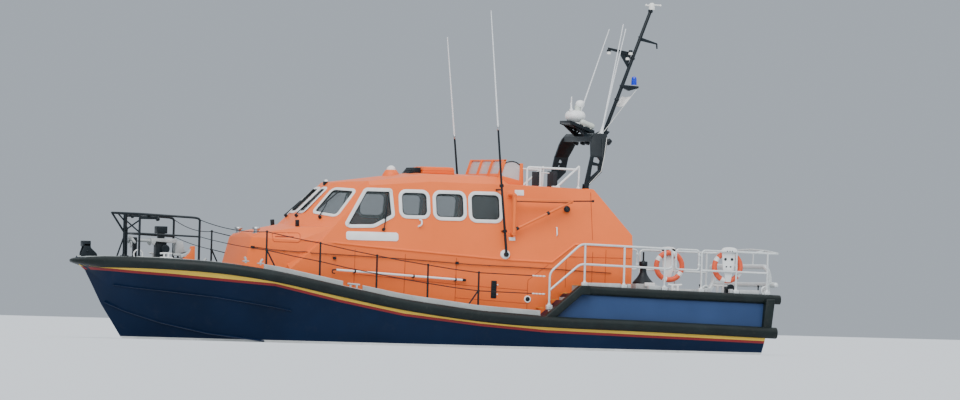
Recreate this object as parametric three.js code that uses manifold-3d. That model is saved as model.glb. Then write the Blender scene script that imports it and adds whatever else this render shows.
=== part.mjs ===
// All-weather lifeboat, 16.3 m long, afloat at rest.
// Millimetres. +X points to the bow, +Y to port and +Z up. The origin is amidships on the
// centreline, at the waterline.

import * as THREE from 'three';
import { mergeVertices } from 'three/addons/utils/BufferGeometryUtils.js';
import Module from 'manifold-3d';

const wasm = await Module();
wasm.setup();

// The running gap between neighbours
const GAP = 0.4;
const SIDES = { port: 1, starboard: -1 };

// Finishes: colour, roughness, metalness
const FINISH = {
  navy: [0x14234a, 0.35, 0],
  orange: [0xf0703a, 0.45, 0],
  fender: [0x1c2626, 0.8, 0],
  deckGrey: [0xb9bfbd, 0.75, 0],
  antifoul: [0xe8e8e6, 0.5, 0],
  whitePaint: [0xf0f0ee, 0.4, 0],
  blackPaint: [0x16191b, 0.5, 0.1],
  aluminium: [0xc9cdcc, 0.4, 0.6],
  bronze: [0x9a7440, 0.35, 0.9],
  steel: [0x9fa4a6, 0.3, 0.9],
  glass: [0x5f6d70, 0.08, 0],
  interior: [0x8d9496, 0.7, 0],
  seat: [0x23272b, 0.7, 0],
  buoy: [0xe2492c, 0.6, 0],
  whip: [0xe9e9e4, 0.5, 0],
};

// Basic solids

function solidOf(geometry) {
  const bare = geometry.clone();
  bare.deleteAttribute('normal');
  bare.deleteAttribute('uv');
  const merged = mergeVertices(bare, 0.01);
  return new wasm.Manifold(new wasm.Mesh({
    numProp: 3,
    vertProperties: new Float32Array(merged.attributes.position.array),
    triVerts: new Uint32Array(merged.index.array),
  }));
}

function meshOf(name, solid, finish) {
  const data = solid.getMesh();
  const geometry = new THREE.BufferGeometry();
  geometry.setAttribute('position', new THREE.BufferAttribute(new Float32Array(data.vertProperties), 3));
  geometry.setIndex(new THREE.BufferAttribute(new Uint32Array(data.triVerts), 1));
  geometry.computeVertexNormals();
  const [color, roughness, metalness] = FINISH[finish];
  const mesh = new THREE.Mesh(geometry, new THREE.MeshStandardMaterial({ color, roughness, metalness }));
  mesh.name = name;
  return mesh;
}

function join(solids) {
  return solids.reduce((whole, piece) => whole.add(piece));
}

// A closed skin through rings of points that all have the same count. A looped skin has no ends.
function loft(rings, looped = false) {
  const count = rings[0].length;
  const points = rings.flat().map((p) => new THREE.Vector3(...p));
  const faces = [];
  const bands = looped ? rings.length : rings.length - 1;
  for (let i = 0; i < bands; i += 1) {
    const next = (i + 1) % rings.length;
    for (let j = 0; j < count; j += 1) {
      const k = (j + 1) % count;
      const [a, b, c, d] = [i * count + j, i * count + k, next * count + k, next * count + j];
      faces.push([a, b, c], [a, c, d]);
    }
  }
  if (!looped) {
    const lastStart = (rings.length - 1) * count;
    capFaces(points.slice(0, count)).forEach(([a, b, c]) => faces.push([a, c, b]));
    capFaces(points.slice(-count)).forEach((face) => faces.push(face.map((k) => k + lastStart)));
  }
  return closedSolid(points, faces);
}

// Caps are cut into triangles in the plane that the ring faces most, and run the ring's own way.
function capFaces(ring) {
  const normal = ringNormal(ring);
  const axis = [Math.abs(normal.x), Math.abs(normal.y), Math.abs(normal.z)];
  const drop = axis.indexOf(Math.max(...axis));
  const flat = ring.map((p) => {
    const c = [p.x, p.y, p.z];
    c.splice(drop, 1);
    return new THREE.Vector2(...c);
  });
  const faces = THREE.ShapeUtils.triangulateShape(flat, []);
  const [a, b, c] = faces[0].map((k) => ring[k]);
  const turn = b.clone().sub(a).cross(c.clone().sub(a));
  return turn.dot(normal) > 0 ? faces : faces.map(([i, j, k]) => [i, k, j]);
}

function ringNormal(ring) {
  const normal = new THREE.Vector3();
  ring.forEach((p, i) => normal.add(p.clone().cross(ring[(i + 1) % ring.length])));
  return normal.normalize();
}

function closedSolid(points, faces) {
  const geometry = new THREE.BufferGeometry().setFromPoints(points);
  const turned = signedVolume(points, faces) < 0 ? faces.map(([a, b, c]) => [a, c, b]) : faces;
  geometry.setIndex(turned.flat());
  return solidOf(geometry);
}

function signedVolume(points, faces) {
  return faces.reduce((sum, [a, b, c]) => (
    sum + points[a].dot(points[b].clone().cross(points[c]))
  ), 0);
}

// A ring from the port half of a section, from the bottom to the top on the centreline.
function wholeRing(half) {
  const starboard = half.slice(1, -1).reverse().map(([x, y, z]) => [x, -y, z]);
  return [...half, ...starboard];
}

function box(x0, x1, y0, y1, z0, z1) {
  const geometry = new THREE.BoxGeometry(Math.abs(x1 - x0), Math.abs(y1 - y0), Math.abs(z1 - z0));
  geometry.translate((x0 + x1) / 2, (y0 + y1) / 2, (z0 + z1) / 2);
  return solidOf(geometry);
}

// A round bar between two points.
function bar(a, b, radius, sides = 6, endRadius = radius) {
  const from = new THREE.Vector3(...a);
  const to = new THREE.Vector3(...b);
  const length = from.distanceTo(to);
  const geometry = new THREE.CylinderGeometry(endRadius, radius, length, sides);
  const turn = new THREE.Quaternion().setFromUnitVectors(
    new THREE.Vector3(0, 1, 0), to.clone().sub(from).normalize());
  geometry.applyQuaternion(turn);
  geometry.translate((from.x + to.x) / 2, (from.y + to.y) / 2, (from.z + to.z) / 2);
  return solidOf(geometry);
}

// A round pipe along a line of points, mitred at each bend. A looped pipe joins its own start.
function pipe(points, radius, sides = 6, looped = false) {
  const line = points.map((p) => new THREE.Vector3(...p));
  const count = line.length;
  const leg = (i) => line[(i + 1) % count].clone().sub(line[i % count]).normalize();
  const first = leg(0);
  const up = Math.abs(first.z) > 0.8 ? new THREE.Vector3(1, 0, 0) : new THREE.Vector3(0, 0, 1);
  const across = up.cross(first).normalize();
  const away = first.clone().cross(across);
  let spokes = Array.from({ length: sides }, (_, k) => {
    const turn = ((k + 0.5) * 2 * Math.PI) / sides;
    return across.clone().multiplyScalar(radius * Math.cos(turn)).addScaledVector(away, radius * Math.sin(turn));
  });
  const rings = line.map((p, i) => {
    const atEnd = !looped && (i === 0 || i === count - 1);
    const before = i === 0 ? leg(looped ? count - 1 : 0) : leg(i - 1);
    const after = atEnd ? before : leg(i);
    const along = i === 0 ? after : before;
    const mitre = before.clone().add(after).normalize();
    const ring = spokes.map((o) => o.clone().addScaledVector(along, -o.dot(mitre) / along.dot(mitre)));
    spokes = ring.map((o) => o.clone().addScaledVector(after, -o.dot(after)));
    return ring.map((o) => o.add(p).toArray());
  });
  return loft(rings, looped);
}

// A flat outline given thickness: points are [x, z], from one y to another.
function plateXZ(outline, y0, y1) {
  return loft([y0, y1].map((y) => outline.map(([x, z]) => [x, y, z])));
}

// A flat outline given thickness: points are [x, y], from one z to another.
function plateXY(outline, z0, z1) {
  return loft([z0, z1].map((z) => outline.map(([x, y]) => [x, y, z])));
}

// A turned shape: a profile of [radius, height] that starts and ends on the axis.
function turned(profile, place, sides = 12, along = [0, 0, 1]) {
  const geometry = new THREE.LatheGeometry(profile.map(([r, h]) => new THREE.Vector2(r, h)), sides);
  const turn = new THREE.Quaternion().setFromUnitVectors(
    new THREE.Vector3(0, 1, 0), new THREE.Vector3(...along).normalize());
  geometry.applyQuaternion(turn);
  geometry.translate(...place);
  return solidOf(geometry);
}

// The value of a table's column at x, on straight lines through its rows and past its ends.
function tableAt(rows, x, column) {
  const found = rows.findIndex((row) => row[0] <= x);
  const i = found < 0 ? rows.length - 1 : Math.max(1, found);
  const [from, to] = [rows[i - 1], rows[i]];
  const t = (x - from[0]) / (to[0] - from[0]);
  return from[column] + t * (to[column] - from[column]);
}

// Hull

// Stations from the stem to the transom:
// x, keel z, chine y, chine z, rail y, rail z, fender-foot y, fender-foot z, deck edge y, deck edge z
const HULL = [
  [8010, 1690, 20, 1700, 40, 1710, 60, 1725, 90, 1815],
  [7800, 1520, 60, 1570, 190, 1600, 330, 1620, 400, 1820],
  [7410, 770, 90, 850, 430, 1210, 760, 1560, 860, 1825],
  [6930, 40, 300, 610, 800, 1150, 1180, 1545, 1280, 1825],
  [6200, -550, 680, 370, 1220, 1080, 1640, 1520, 1740, 1805],
  [5200, -900, 1130, 150, 1660, 980, 2030, 1450, 2120, 1745],
  [4000, -1050, 1580, 10, 2020, 800, 2310, 1300, 2380, 1590],
  [2500, -1100, 1980, -130, 2270, 530, 2460, 1000, 2510, 1300],
  [1000, -1100, 2200, -220, 2400, 330, 2510, 740, 2550, 1030],
  [-800, -1080, 2300, -270, 2450, 210, 2530, 550, 2560, 820],
  [-2400, -1020, 2330, -290, 2460, 150, 2530, 460, 2560, 730],
  [-5000, -880, 2290, -270, 2420, 110, 2500, 410, 2520, 680],
  [-7700, -700, 2180, -230, 2310, 50, 2390, 330, 2400, 610],
];
const DECK_CAMBER = 40;
const TRANSOM_X = -7700;
const TRANSOM_RAKE = 0.16;
const TRANSOM_RAKE_Z = 350;

function transomX(z) {
  return TRANSOM_X - TRANSOM_RAKE * (z - TRANSOM_RAKE_Z);
}

function hullRing(row, skin) {
  const [x, keel, cy, cz, ry, rz, fy, fz, dy, dz] = row;
  const place = (y, z) => {
    if (x === TRANSOM_X) return [transomX(z) - skin, y, z];
    return [x > 8000 ? x + skin : x, y, z];
  };
  return wholeRing([
    place(0, keel - skin), place(cy + skin, cz - skin), place(ry + skin, rz),
    place(fy + skin, fz), place(dy + skin, dz + skin), place(0, dz + DECK_CAMBER + skin),
  ]);
}

// The raised after deck with its sides leaning in, from the foot of the side steps to the stern:
// x, side foot y, side foot z, side top y, deck z
const QUARTER = [
  [-2380, 2480, 600, 2470, 720],
  [-3230, 2480, 600, 2360, 1476],
  [-5200, 2450, 560, 2330, 1423],
  [-7700, 2350, 500, 2230, 1378],
];

function quarterRing(row, skin) {
  const [x, fy, fz, ty, tz] = row;
  const place = (y, z) => [x === TRANSOM_X ? transomX(z) - skin : x + (x > -2400 ? skin : 0), y, z];
  return wholeRing([
    place(0, fz), place(fy + skin, fz), place(ty + skin, tz + skin), place(0, tz + skin + 0.1),
  ]);
}

// The side steps climb from the side deck to the after deck, inside the sloping bulwark.
// Treads, lowest first: front edge x, top z
const TREADS = [[-2360, 940], [-2640, 1130], [-2920, 1290]];
const STEPS = { x0: -3230, x1: -2200, outer: 2290 };

function stepSpace(side, skin) {
  const outline = [[STEPS.x0 + skin, 2000], [STEPS.x0 + skin, TREADS[2][1] + skin]];
  [...TREADS].reverse().forEach(([x, z], i) => {
    const lower = i < 2 ? TREADS[1 - i][1] : 600;
    outline.push([x + skin, z + skin], [x + skin, lower + skin]);
  });
  outline.push([STEPS.x1, 600 + skin], [STEPS.x1, 2000]);
  return plateXZ(outline, side * -500, side * (STEPS.outer - skin));
}

// Tunnels for the propellers, and the stern garage behind the transom door
const SHAFT_Y = 1080;
const TUNNEL = { x0: -4300, x1: -8200, z0: -1130, z1: -690, radius: 450 };
const GARAGE = { depth: 2600, halfWidth: 720, z0: 260, z1: 1060 };

function tunnel(side) {
  const from = [TUNNEL.x0, side * SHAFT_Y, TUNNEL.z0];
  const to = [TUNNEL.x1, side * SHAFT_Y, TUNNEL.z1];
  return bar(from, to, TUNNEL.radius, 14);
}

function garage() {
  const x = transomX(GARAGE.z1) - 50;
  return box(x, x + GARAGE.depth, -GARAGE.halfWidth, GARAGE.halfWidth, GARAGE.z0, GARAGE.z1);
}

function hullBody(skin) {
  const lower = loft(HULL.map((row) => hullRing(row, skin)));
  const upper = loft(QUARTER.map((row) => quarterRing(row, skin)))
    .subtract(stepSpace(1, skin)).subtract(stepSpace(-1, skin));
  return lower.add(upper);
}

function makeHull() {
  return join([hullBody(0), keel(), bilgeKeel(1), bilgeKeel(-1)])
    .subtract(tunnel(1)).subtract(tunnel(-1)).subtract(garage());
}

// Everything that stands on the hull is cut to it with a hair's gap.
const hullSkin = hullBody(GAP);

function seated(solid) {
  return solid.subtract(hullSkin);
}

function deckEdge(x, inset = 0, lift = 0) {
  const onQuarter = x <= -3230;
  const y = onQuarter ? tableAt(QUARTER, x, 3) : tableAt(HULL, x, 8);
  const z = onQuarter ? tableAt(QUARTER, x, 4) : tableAt(HULL, x, 9);
  return [x, y - inset, z + lift];
}

// Keel, bilge keels, shafts, propellers and rudders

const KEEL_DEPTH = -1300;
const DRAUGHT = -1420;
const SHAFT_SLOPE = 5;
const PROP = { x: -6420, z: -960, radius: 370, hub: 75, blades: 5 };
const RUDDER = { x: -7120, top: -640, bottom: -1340, thick: 70, ahead: 130, astern: 330 };

function keel() {
  return plateXZ([[3600, -900], [3300, KEEL_DEPTH + 60], [3000, KEEL_DEPTH], [-3900, KEEL_DEPTH],
    [-4500, -700]], -90, 90);
}

function bilgeKeel(side) {
  return plateXZ([[-3700, -200], [-4300, DRAUGHT], [-7350, DRAUGHT], [-7500, -200]], side * 1720, side * 1800);
}

function shaftPoint(side, along) {
  const slope = THREE.MathUtils.degToRad(SHAFT_SLOPE);
  return [PROP.x + along * Math.cos(slope), side * SHAFT_Y, PROP.z - along * Math.sin(slope) * -1];
}

function makeShaftLine(side) {
  const shaft = bar(shaftPoint(side, 75), shaftPoint(side, 2600), 38, 8);
  const boss = bar(shaftPoint(side, 110), shaftPoint(side, 420), 80, 10);
  const [bx, by, bz] = shaftPoint(side, 260);
  const strut = box(bx - 100, bx + 100, by - 22, by + 22, bz, bz + 700);
  return join([shaft, boss, strut]).subtract(hullSkin
    .subtract(tunnel(1)).subtract(tunnel(-1)));
}

function makePropeller(side) {
  const hub = bar(shaftPoint(side, -160), shaftPoint(side, 75 - GAP), PROP.hub, 10, PROP.hub * 0.9);
  const blades = [];
  for (let k = 0; k < PROP.blades; k += 1) {
    const angle = (k * 2 * Math.PI) / PROP.blades;
    blades.push(propellerBlade(side, angle));
  }
  return join([hub, ...blades]);
}

// One blade, flat and set at the pitch angle. Columns: radius, across
const BLADE = [[40, -45], [130, -95], [260, -115], [345, -75], [370, 0], [345, 75], [260, 115], [130, 95], [40, 45]];
const BLADE_PITCH = 38;
const BLADE_HALF_THICK = 9;

function propellerBlade(side, angle) {
  const slope = THREE.MathUtils.degToRad(SHAFT_SLOPE);
  const pitch = THREE.MathUtils.degToRad(BLADE_PITCH);
  return loft([-BLADE_HALF_THICK, BLADE_HALF_THICK].map((t) => BLADE.map(([radius, across]) => {
    const fore = t * Math.cos(pitch) + across * Math.sin(pitch);
    const v = new THREE.Vector3(fore - 45, side * (across * Math.cos(pitch) - t * Math.sin(pitch)), radius);
    v.applyAxisAngle(new THREE.Vector3(1, 0, 0), angle + 0.1);
    v.applyAxisAngle(new THREE.Vector3(0, 1, 0), -slope);
    return [PROP.x + v.x, side * SHAFT_Y + v.y, PROP.z + v.z];
  })));
}

function makeRudder(side) {
  const { x, top, bottom, thick, ahead, astern } = RUDDER;
  const y = side * SHAFT_Y;
  const outline = [[x + ahead, y], [x + ahead * 0.4, y + thick / 2], [x - astern * 0.4, y + thick * 0.35],
    [x - astern, y + 5], [x - astern, y - 5], [x - astern * 0.4, y - thick * 0.35], [x + ahead * 0.4, y - thick / 2]];
  const blade = plateXY(outline, bottom, top);
  const stock = bar([x, y, top - 20], [x, y, rudderSeat()], 40, 10);
  return blade.add(stock);
}

// The stock runs up to the roof of the tunnel.
function rudderSeat() {
  const t = (RUDDER.x - TUNNEL.x0) / (TUNNEL.x1 - TUNNEL.x0);
  return TUNNEL.z0 + t * (TUNNEL.z1 - TUNNEL.z0) + TUNNEL.radius * 0.972;
}

// Fenders and toe rails

// Section of the main fender: outward from the hull side, height below the deck edge
const FENDER_SECTION = [[-60, 25], [50, 20], [120, -35], [140, -110], [120, -190], [50, -240], [-60, -245]];

// A band swept along a line of points, with its section standing off the line in plan.
function sweptBand(path, section) {
  const rings = path.map((p, i) => {
    const before = path[Math.max(0, i - 1)];
    const after = path[Math.min(path.length - 1, i + 1)];
    const t = new THREE.Vector2(after[0] - before[0], after[1] - before[1]).normalize();
    return section.map(([out, up]) => [p[0] + t.y * out, p[1] - t.x * out, p[2] + up]);
  });
  return loft(rings);
}

// The deck edge from the stern on the starboard side, round the bow, to the stern on the port side.
const BELT_X = [-7950, -6400, -5000, -3700, -2400, -800, 1000, 2500, 4000, 5200, 6200, 6930, 7410, 7800];

function beltPath(xs) {
  const half = xs.map((x) => [x, tableAt(HULL, x, 8), tableAt(HULL, x, 9)]);
  const starboard = half.map(([x, y, z]) => [x, -y, z]);
  const nose = [[8010, -110, 1815], [8010, 110, 1815]];
  return [...starboard, ...nose, ...half.reverse()];
}

function belt(skin = 0) {
  const section = FENDER_SECTION.map(([out, up]) => [out + Math.sign(out) * skin, up + Math.sign(up) * skin]);
  return sweptBand(beltPath(BELT_X), section);
}

// Upper fender round the raised quarter: along the top, down the step and down the transom corner
const QUARTER_FENDER = { deep: 212, out: 120 };

function quarterFender(side, skin = 0) {
  const { deep, out } = QUARTER_FENDER;
  const line = [-3180, -5200, -7700, -8080].map((x) => [x, side * tableAt(QUARTER, x, 3), tableAt(QUARTER, x, 4)]);
  const path = side > 0 ? line : line.reverse();
  const section = [[-20, 0], [40, -5], [out, -60], [out, -deep + 60], [60, -deep], [-20, -deep]]
    .map(([o, u]) => [o + skin, u + (u > -60 ? skin : -skin)]);
  const along = sweptBand(path, section);
  const slope = plateXZ([[-3171, 1476], [-3420, 1476], [-3420, 1262], [-3214, 1256], [-2560, 680], [-2520, 640], [-2330, 640], [-2326, 742]]
    .map(([x, z]) => [x + skin, z + skin]), side * 2380, side * (2590 + skin));
  const corner = plateXZ([[-7695, 1280], [-7915, 1280], [-7840, 560], [-7615, 560]],
    side * 2200, side * (2450 + skin));
  return join([along, slope, corner]);
}

function fender(skin) {
  return join([belt(skin), quarterFender(1, skin), quarterFender(-1, skin)]);
}

const fenderSkin = fender(GAP);

function makeFender() {
  return seated(fender(0));
}

// Toe rail: a low strip along the deck edge, with taller lengths. Columns: from x, to x
const TOE_RAIL = { height: 140, low: 40, thick: 45, inset: 75 };
const TOE_LENGTHS = [[4260, 2440], [1970, -2250]];

function toeStrip(side, x0, x1, height) {
  const xs = [x0, ...HULL.map((row) => row[0]).filter((x) => x < x0 && x > x1), x1];
  const rings = xs.map((x) => {
    const [, y, z] = deckEdge(x, TOE_RAIL.inset);
    const inner = y - TOE_RAIL.thick;
    return [[x, y, z - 60], [x, y, z + height], [x, inner, z + height], [x, inner, z - 60]]
      .map(([a, b, c]) => [a, side * b, c]);
  });
  return loft(rings);
}

function makeToeRail(side) {
  const strip = toeStrip(side, 6950, -2260, TOE_RAIL.low);
  const lengths = TOE_LENGTHS.map(([x0, x1]) => toeStrip(side, x0, x1, TOE_RAIL.height));
  return seated(join([strip, ...lengths])).subtract(fenderSkin);
}

// House

// The side wall above the knuckle is one plane that leans in.
const WALL_FOOT = { y: 1850, z: 2100 };
const WALL_LEAN = 0.216;
const WALL = 60;
const LOWER_WALL_LEAN = 60;

function wallY(z) {
  return WALL_FOOT.y - WALL_LEAN * (z - WALL_FOOT.z);
}

// x, foot z, knuckle z, roof edge z, cant top y, cant top z, crown z
const HOUSE = [
  [3500, 1000, 2300, 3560, 1380, 3600, 3625],
  [2150, 900, 2250, 3600, 1380, 3645, 3670],
  [1600, 800, 2210, 3610, 1340, 3710, 3750],
  [100, 600, 2110, 3740, 1220, 3905, 3955],
  [-1600, 500, 2000, 3720, 1220, 3890, 3940],
  [-1760, 500, 1995, 3715, 1400, 3735, 3745],
  [-2700, 500, 1970, 3690, 1400, 3705, 3715],
  [-3270, 500, 2390, 3670, 1400, 3685, 3695],
  [-4655, 500, 2360, 3660, 1400, 3675, 3685],
];

function houseRing([x, fz, kz, ez, cy, cz, crown], skin, end) {
  const px = x + end * skin;
  return wholeRing([
    [px, 0, fz], [px, wallY(kz) - LOWER_WALL_LEAN + skin, fz], [px, wallY(kz) + skin, kz],
    [px, wallY(ez) + skin, ez], [px, cy + skin, cz + skin], [px, 0, crown + skin],
  ]);
}

// A very large block above a sloping plane through a point, for cutting raked faces.
function above(point, normal) {
  const size = 6000;
  const geometry = new THREE.BoxGeometry(size, size, size);
  geometry.translate(0, 0, size / 2);
  const n = new THREE.Vector3(...normal).normalize();
  geometry.applyQuaternion(new THREE.Quaternion().setFromUnitVectors(new THREE.Vector3(0, 0, 1), n));
  geometry.translate(...point);
  return solidOf(geometry);
}

const SCREEN = { point: [3150, 0, 2660], normal: [0.7, 0, 0.714] };
const QUARTER_SCREEN = { point: [3050, 620, 2700], normal: [0.639, 0.362, 0.678] };
const AFT_SLOPE = { point: [-3785, 0, 3660], normal: [-1050, 0, 900] };

function shifted(plane, skin, side = 1) {
  const n = new THREE.Vector3(plane.normal[0], plane.normal[1] * side, plane.normal[2]).normalize();
  const p = new THREE.Vector3(plane.point[0], plane.point[1] * side, plane.point[2]).addScaledVector(n, skin);
  return above(p.toArray(), n.toArray());
}

// Forward trunk: front face raked, sides widening aft:
// foot x, foot y, knuckle x, knuckle y, knuckle z, top x, top y, top z, crown z
const TRUNK = [
  [4510, 900, 4150, 870, 2370, 4080, 800, 2450, 2490],
  [3750, 1380, 3750, 1410, 2350, 3750, 1180, 2520, 2575],
  [3250, 1640, 3250, 1690, 2325, 3250, 1450, 2610, 2690],
  [2450, 1740, 2450, 1812, 2275, 2450, 1725, 2655, 2720],
  [2100, 1740, 2100, 1815, 2250, 2100, 1725, 2655, 2720],
];

function trunkRing([fx, fy, kx, ky, kz, tx, ty, tz, crown], skin) {
  const grow = fx > 4000 ? skin : 0;
  return wholeRing([
    [fx + grow, 0, 1000], [fx + grow, fy + skin, 1000], [kx + grow, ky + skin, kz],
    [tx + grow, ty + skin, tz + skin], [tx + grow, 0, crown + skin],
  ]);
}

function houseOuter(skin) {
  const main = loft(HOUSE.map((row, i) => houseRing(row, skin, i === HOUSE.length - 1 ? -1 : 0)))
    .subtract(shifted(SCREEN, skin))
    .subtract(shifted(QUARTER_SCREEN, skin, 1))
    .subtract(shifted(QUARTER_SCREEN, skin, -1))
    .subtract(shifted(AFT_SLOPE, skin));
  return main.add(loft(TRUNK.map((row) => trunkRing(row, skin))));
}

// The upper steering well and the sheltered recess round the after door
const WELL = { x0: -3560, x1: -1800, halfWidth: 1180, floor: 2800 };
const RECESS = { x0: -3900, halfWidth: 560, top: 3420, sill: 1440 };
const DOOR = { halfWidth: 360, foot: 1500, head: 3300, thick: 45 };
const SOLE_Z = 1550;

function wellSpace(wall) {
  const { x0, x1, halfWidth, floor } = WELL;
  return box(x0 - wall, x1 + wall, -halfWidth - wall, halfWidth + wall, floor - wall, 4500);
}

function recessSpace(wall) {
  const { x0, halfWidth, top, sill } = RECESS;
  return box(-5200, x0 + wall, -halfWidth - wall, halfWidth + wall, sill - wall, top + wall);
}

function doorSpace(slack) {
  const { halfWidth, foot, head } = DOOR;
  return box(RECESS.x0 - 100, RECESS.x0 + 200, -halfWidth - slack, halfWidth + slack, foot - slack, head + slack);
}

// Windows: outlines on their own plane, as [along, up]. Each corner is cut off.
function roundedOutline(corners, radius) {
  const points = [];
  corners.forEach((c, i) => {
    const p = new THREE.Vector2(...c);
    const before = new THREE.Vector2(...corners[(i + corners.length - 1) % corners.length]).sub(p);
    const after = new THREE.Vector2(...corners[(i + 1) % corners.length]).sub(p);
    const a = p.clone().add(before.setLength(Math.min(radius, before.length() * 0.4)));
    const b = p.clone().add(after.setLength(Math.min(radius, after.length() * 0.4)));
    points.push(a.toArray(), b.toArray());
  });
  return points;
}

// Side windows as x (from, to) and z (from, to); the first has a sloping front and foot.
const SIDE_WINDOWS = [
  [[2190, 2720], [1690, 3530], [1080, 3530], [1040, 2930], [1520, 2680], [2110, 2660]],
  [[880, 2910], [880, 3520], [190, 3520], [190, 2910]],
  [[70, 2890], [70, 3520], [-680, 3520], [-680, 2890]],
  [[-780, 2860], [-780, 3520], [-1540, 3520], [-1540, 2860]],
];
const WINDOW_RADIUS = 110;
const FRAME_RIM = 45;

// A prism through the wall, from one depth to another measured outward from the wall's face.
function sidePrism(outline, side, from, to) {
  const n = new THREE.Vector2(1, WALL_LEAN).normalize();
  return loft([from, to].map((depth) => outline.map(([x, z]) => (
    [x, side * (wallY(z) + n.x * depth), z + n.y * depth]))));
}

function planeAxes(plane, side) {
  const normal = new THREE.Vector3(plane.normal[0], plane.normal[1] * side, plane.normal[2]).normalize();
  const across = new THREE.Vector3(0, 0, 1).cross(normal).normalize();
  const up = normal.clone().cross(across);
  const point = new THREE.Vector3(plane.point[0], plane.point[1] * side, plane.point[2]);
  return { normal, across, up, point };
}

function planePrism(plane, side, outline, from, to) {
  const { normal, across, up, point } = planeAxes(plane, side);
  return loft([from, to].map((depth) => outline.map(([a, u]) => (
    point.clone().addScaledVector(across, a).addScaledVector(up, u).addScaledVector(normal, depth).toArray()))));
}

const FRONT_WINDOW = [[60, 430], [560, 430], [470, 1250], [60, 1250]];
const QUARTER_WINDOW = [[300, 360], [1130, 250], [1190, 1090], [440, 1130]];

function frontOutline(side) {
  return FRONT_WINDOW.map(([a, u]) => [side * a, u]);
}

function quarterOutline(side) {
  return QUARTER_WINDOW.map(([a, u]) => [side * a, u]);
}

function shrink(outline, by) {
  const centre = outline.reduce((sum, [a, b]) => [sum[0] + a / outline.length, sum[1] + b / outline.length], [0, 0]);
  return outline.map(([a, b]) => {
    const d = Math.hypot(a - centre[0], b - centre[1]);
    return [a + ((centre[0] - a) * by) / d, b + ((centre[1] - b) * by) / d];
  });
}

function windowHoles(side) {
  const holes = SIDE_WINDOWS.map((o) => sidePrism(roundedOutline(o, WINDOW_RADIUS), side, -300, 200));
  holes.push(planePrism(QUARTER_SCREEN, side, roundedOutline(quarterOutline(side), WINDOW_RADIUS), -300, 200));
  holes.push(planePrism(SCREEN, 1, roundedOutline(frontOutline(side), 80), -300, 200));
  return join(holes);
}

function makeHouse() {
  const outer = houseOuter(0);
  const inner = houseOuter(-WALL)
    .intersect(box(RECESS.x0 + WALL, 5000, -3000, 3000, 0, 5000))
    .subtract(wellSpace(WALL))
    .subtract(recessSpace(WALL));
  const shell = outer.subtract(inner).subtract(wellSpace(0)).subtract(recessSpace(0))
    .subtract(doorSpace(0)).subtract(windowHoles(1)).subtract(windowHoles(-1));
  return seated(join([shell, mastShoe(1), mastShoe(-1)]));
}

function makeSideWindows(side) {
  const panes = SIDE_WINDOWS.map((o) => sidePrism(roundedOutline(shrink(o, GAP * 2), WINDOW_RADIUS), side, -WALL - 20, 8));
  const rims = SIDE_WINDOWS.map((o) => sidePrism(roundedOutline(shrink(o, -FRAME_RIM), WINDOW_RADIUS + 30), side, GAP, 14));
  const strip = sidePrism([[1900, 3040], [1900, 3110], [-1500, 3110], [-1500, 3040]], side, -WALL - 15, -WALL - GAP);
  return join([...panes, ...rims, strip]);
}

function makeQuarterWindow(side) {
  const o = quarterOutline(side);
  return planePrism(QUARTER_SCREEN, side, roundedOutline(shrink(o, GAP * 2), WINDOW_RADIUS), -WALL + 5, 8)
    .add(planePrism(QUARTER_SCREEN, side, roundedOutline(shrink(o, -FRAME_RIM), WINDOW_RADIUS + 20), GAP, 14));
}

function makeFrontWindows() {
  const panes = [1, -1].flatMap((side) => {
    const o = frontOutline(side);
    return [
      planePrism(SCREEN, 1, roundedOutline(shrink(o, GAP * 2), 80), -WALL - 20, 8),
      planePrism(SCREEN, 1, roundedOutline(shrink(o, -FRAME_RIM * 0.6), 90), GAP, 14),
    ];
  });
  const strip = planePrism(SCREEN, 1, [[-300, 700], [300, 700], [300, 760], [-300, 760]], -WALL - 15, -WALL - GAP);
  return join([...panes, strip]);
}

function makeDoor() {
  const { halfWidth, foot, head, thick } = DOOR;
  const leaf = box(RECESS.x0 + 5, RECESS.x0 + 5 + thick, -halfWidth + 6, halfWidth - 6, foot + 6, head - 6);
  const handle = box(RECESS.x0 - 60, RECESS.x0 + 10, -halfWidth + 60, -halfWidth + 90, 2350, 2550);
  const hinges = [foot + 150, head - 300].flatMap((z) => [
    bar([RECESS.x0 - 12 - GAP, halfWidth - 3, z], [RECESS.x0 - 12 - GAP, halfWidth - 3, z + 150], 12, 16),
    box(RECESS.x0 - 15, RECESS.x0 + 10, halfWidth - 26, halfWidth - 8, z, z + 150),
  ]);
  return join([leaf, handle, ...hinges]);
}

// The sole with the solid deck block below it, a helm console and four crew seats
function makeSole() {
  const inside = houseOuter(-WALL - GAP).intersect(box(RECESS.x0 + WALL + 2, 3900, -3000, 3000, 0, SOLE_Z));
  return seated(inside).subtract(recessSpace(WALL + GAP));
}

function makeConsole() {
  const outline = [[2700, SOLE_Z + GAP], [2700, 2450], [2350, 2560], [1900, 2350], [1960, SOLE_Z + GAP]];
  return plateXZ(outline, -1300, 1300);
}

function makeSeats() {
  const rail = box(-1300, 1250, -700, 700, SOLE_Z + GAP, SOLE_Z + 60);
  const pieces = [rail];
  [850, -750].forEach((x) => [-620, 620].forEach((y) => {
    pieces.push(box(x - 150, x + 150, y - 150, y + 150, SOLE_Z + 30, 2050));
    pieces.push(box(x - 260, x + 260, y - 250, y + 250, 2040, 2180));
    pieces.push(box(x - 330, x - 220, y - 230, y + 230, 2080, 2980));
  }));
  return join(pieces);
}

// Roof fittings

function makeRaftLocker() {
  const outline = [[-20, 3920], [-60, 4085], [-760, 4085], [-800, 3920]];
  return plateXZ(outline, -420, 420).subtract(houseOuter(GAP));
}

function makeRoofDome() {
  const plinth = turned([[0, -120], [190, -120], [150, 40], [0, 40]], [620, 0, 3950], 10);
  const dome = turned([[0, 0], [125, 0], [125, 60], [80, 120], [0, 140]], [620, 0, 3985], 10);
  return plinth.add(dome).subtract(houseOuter(GAP));
}

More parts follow.
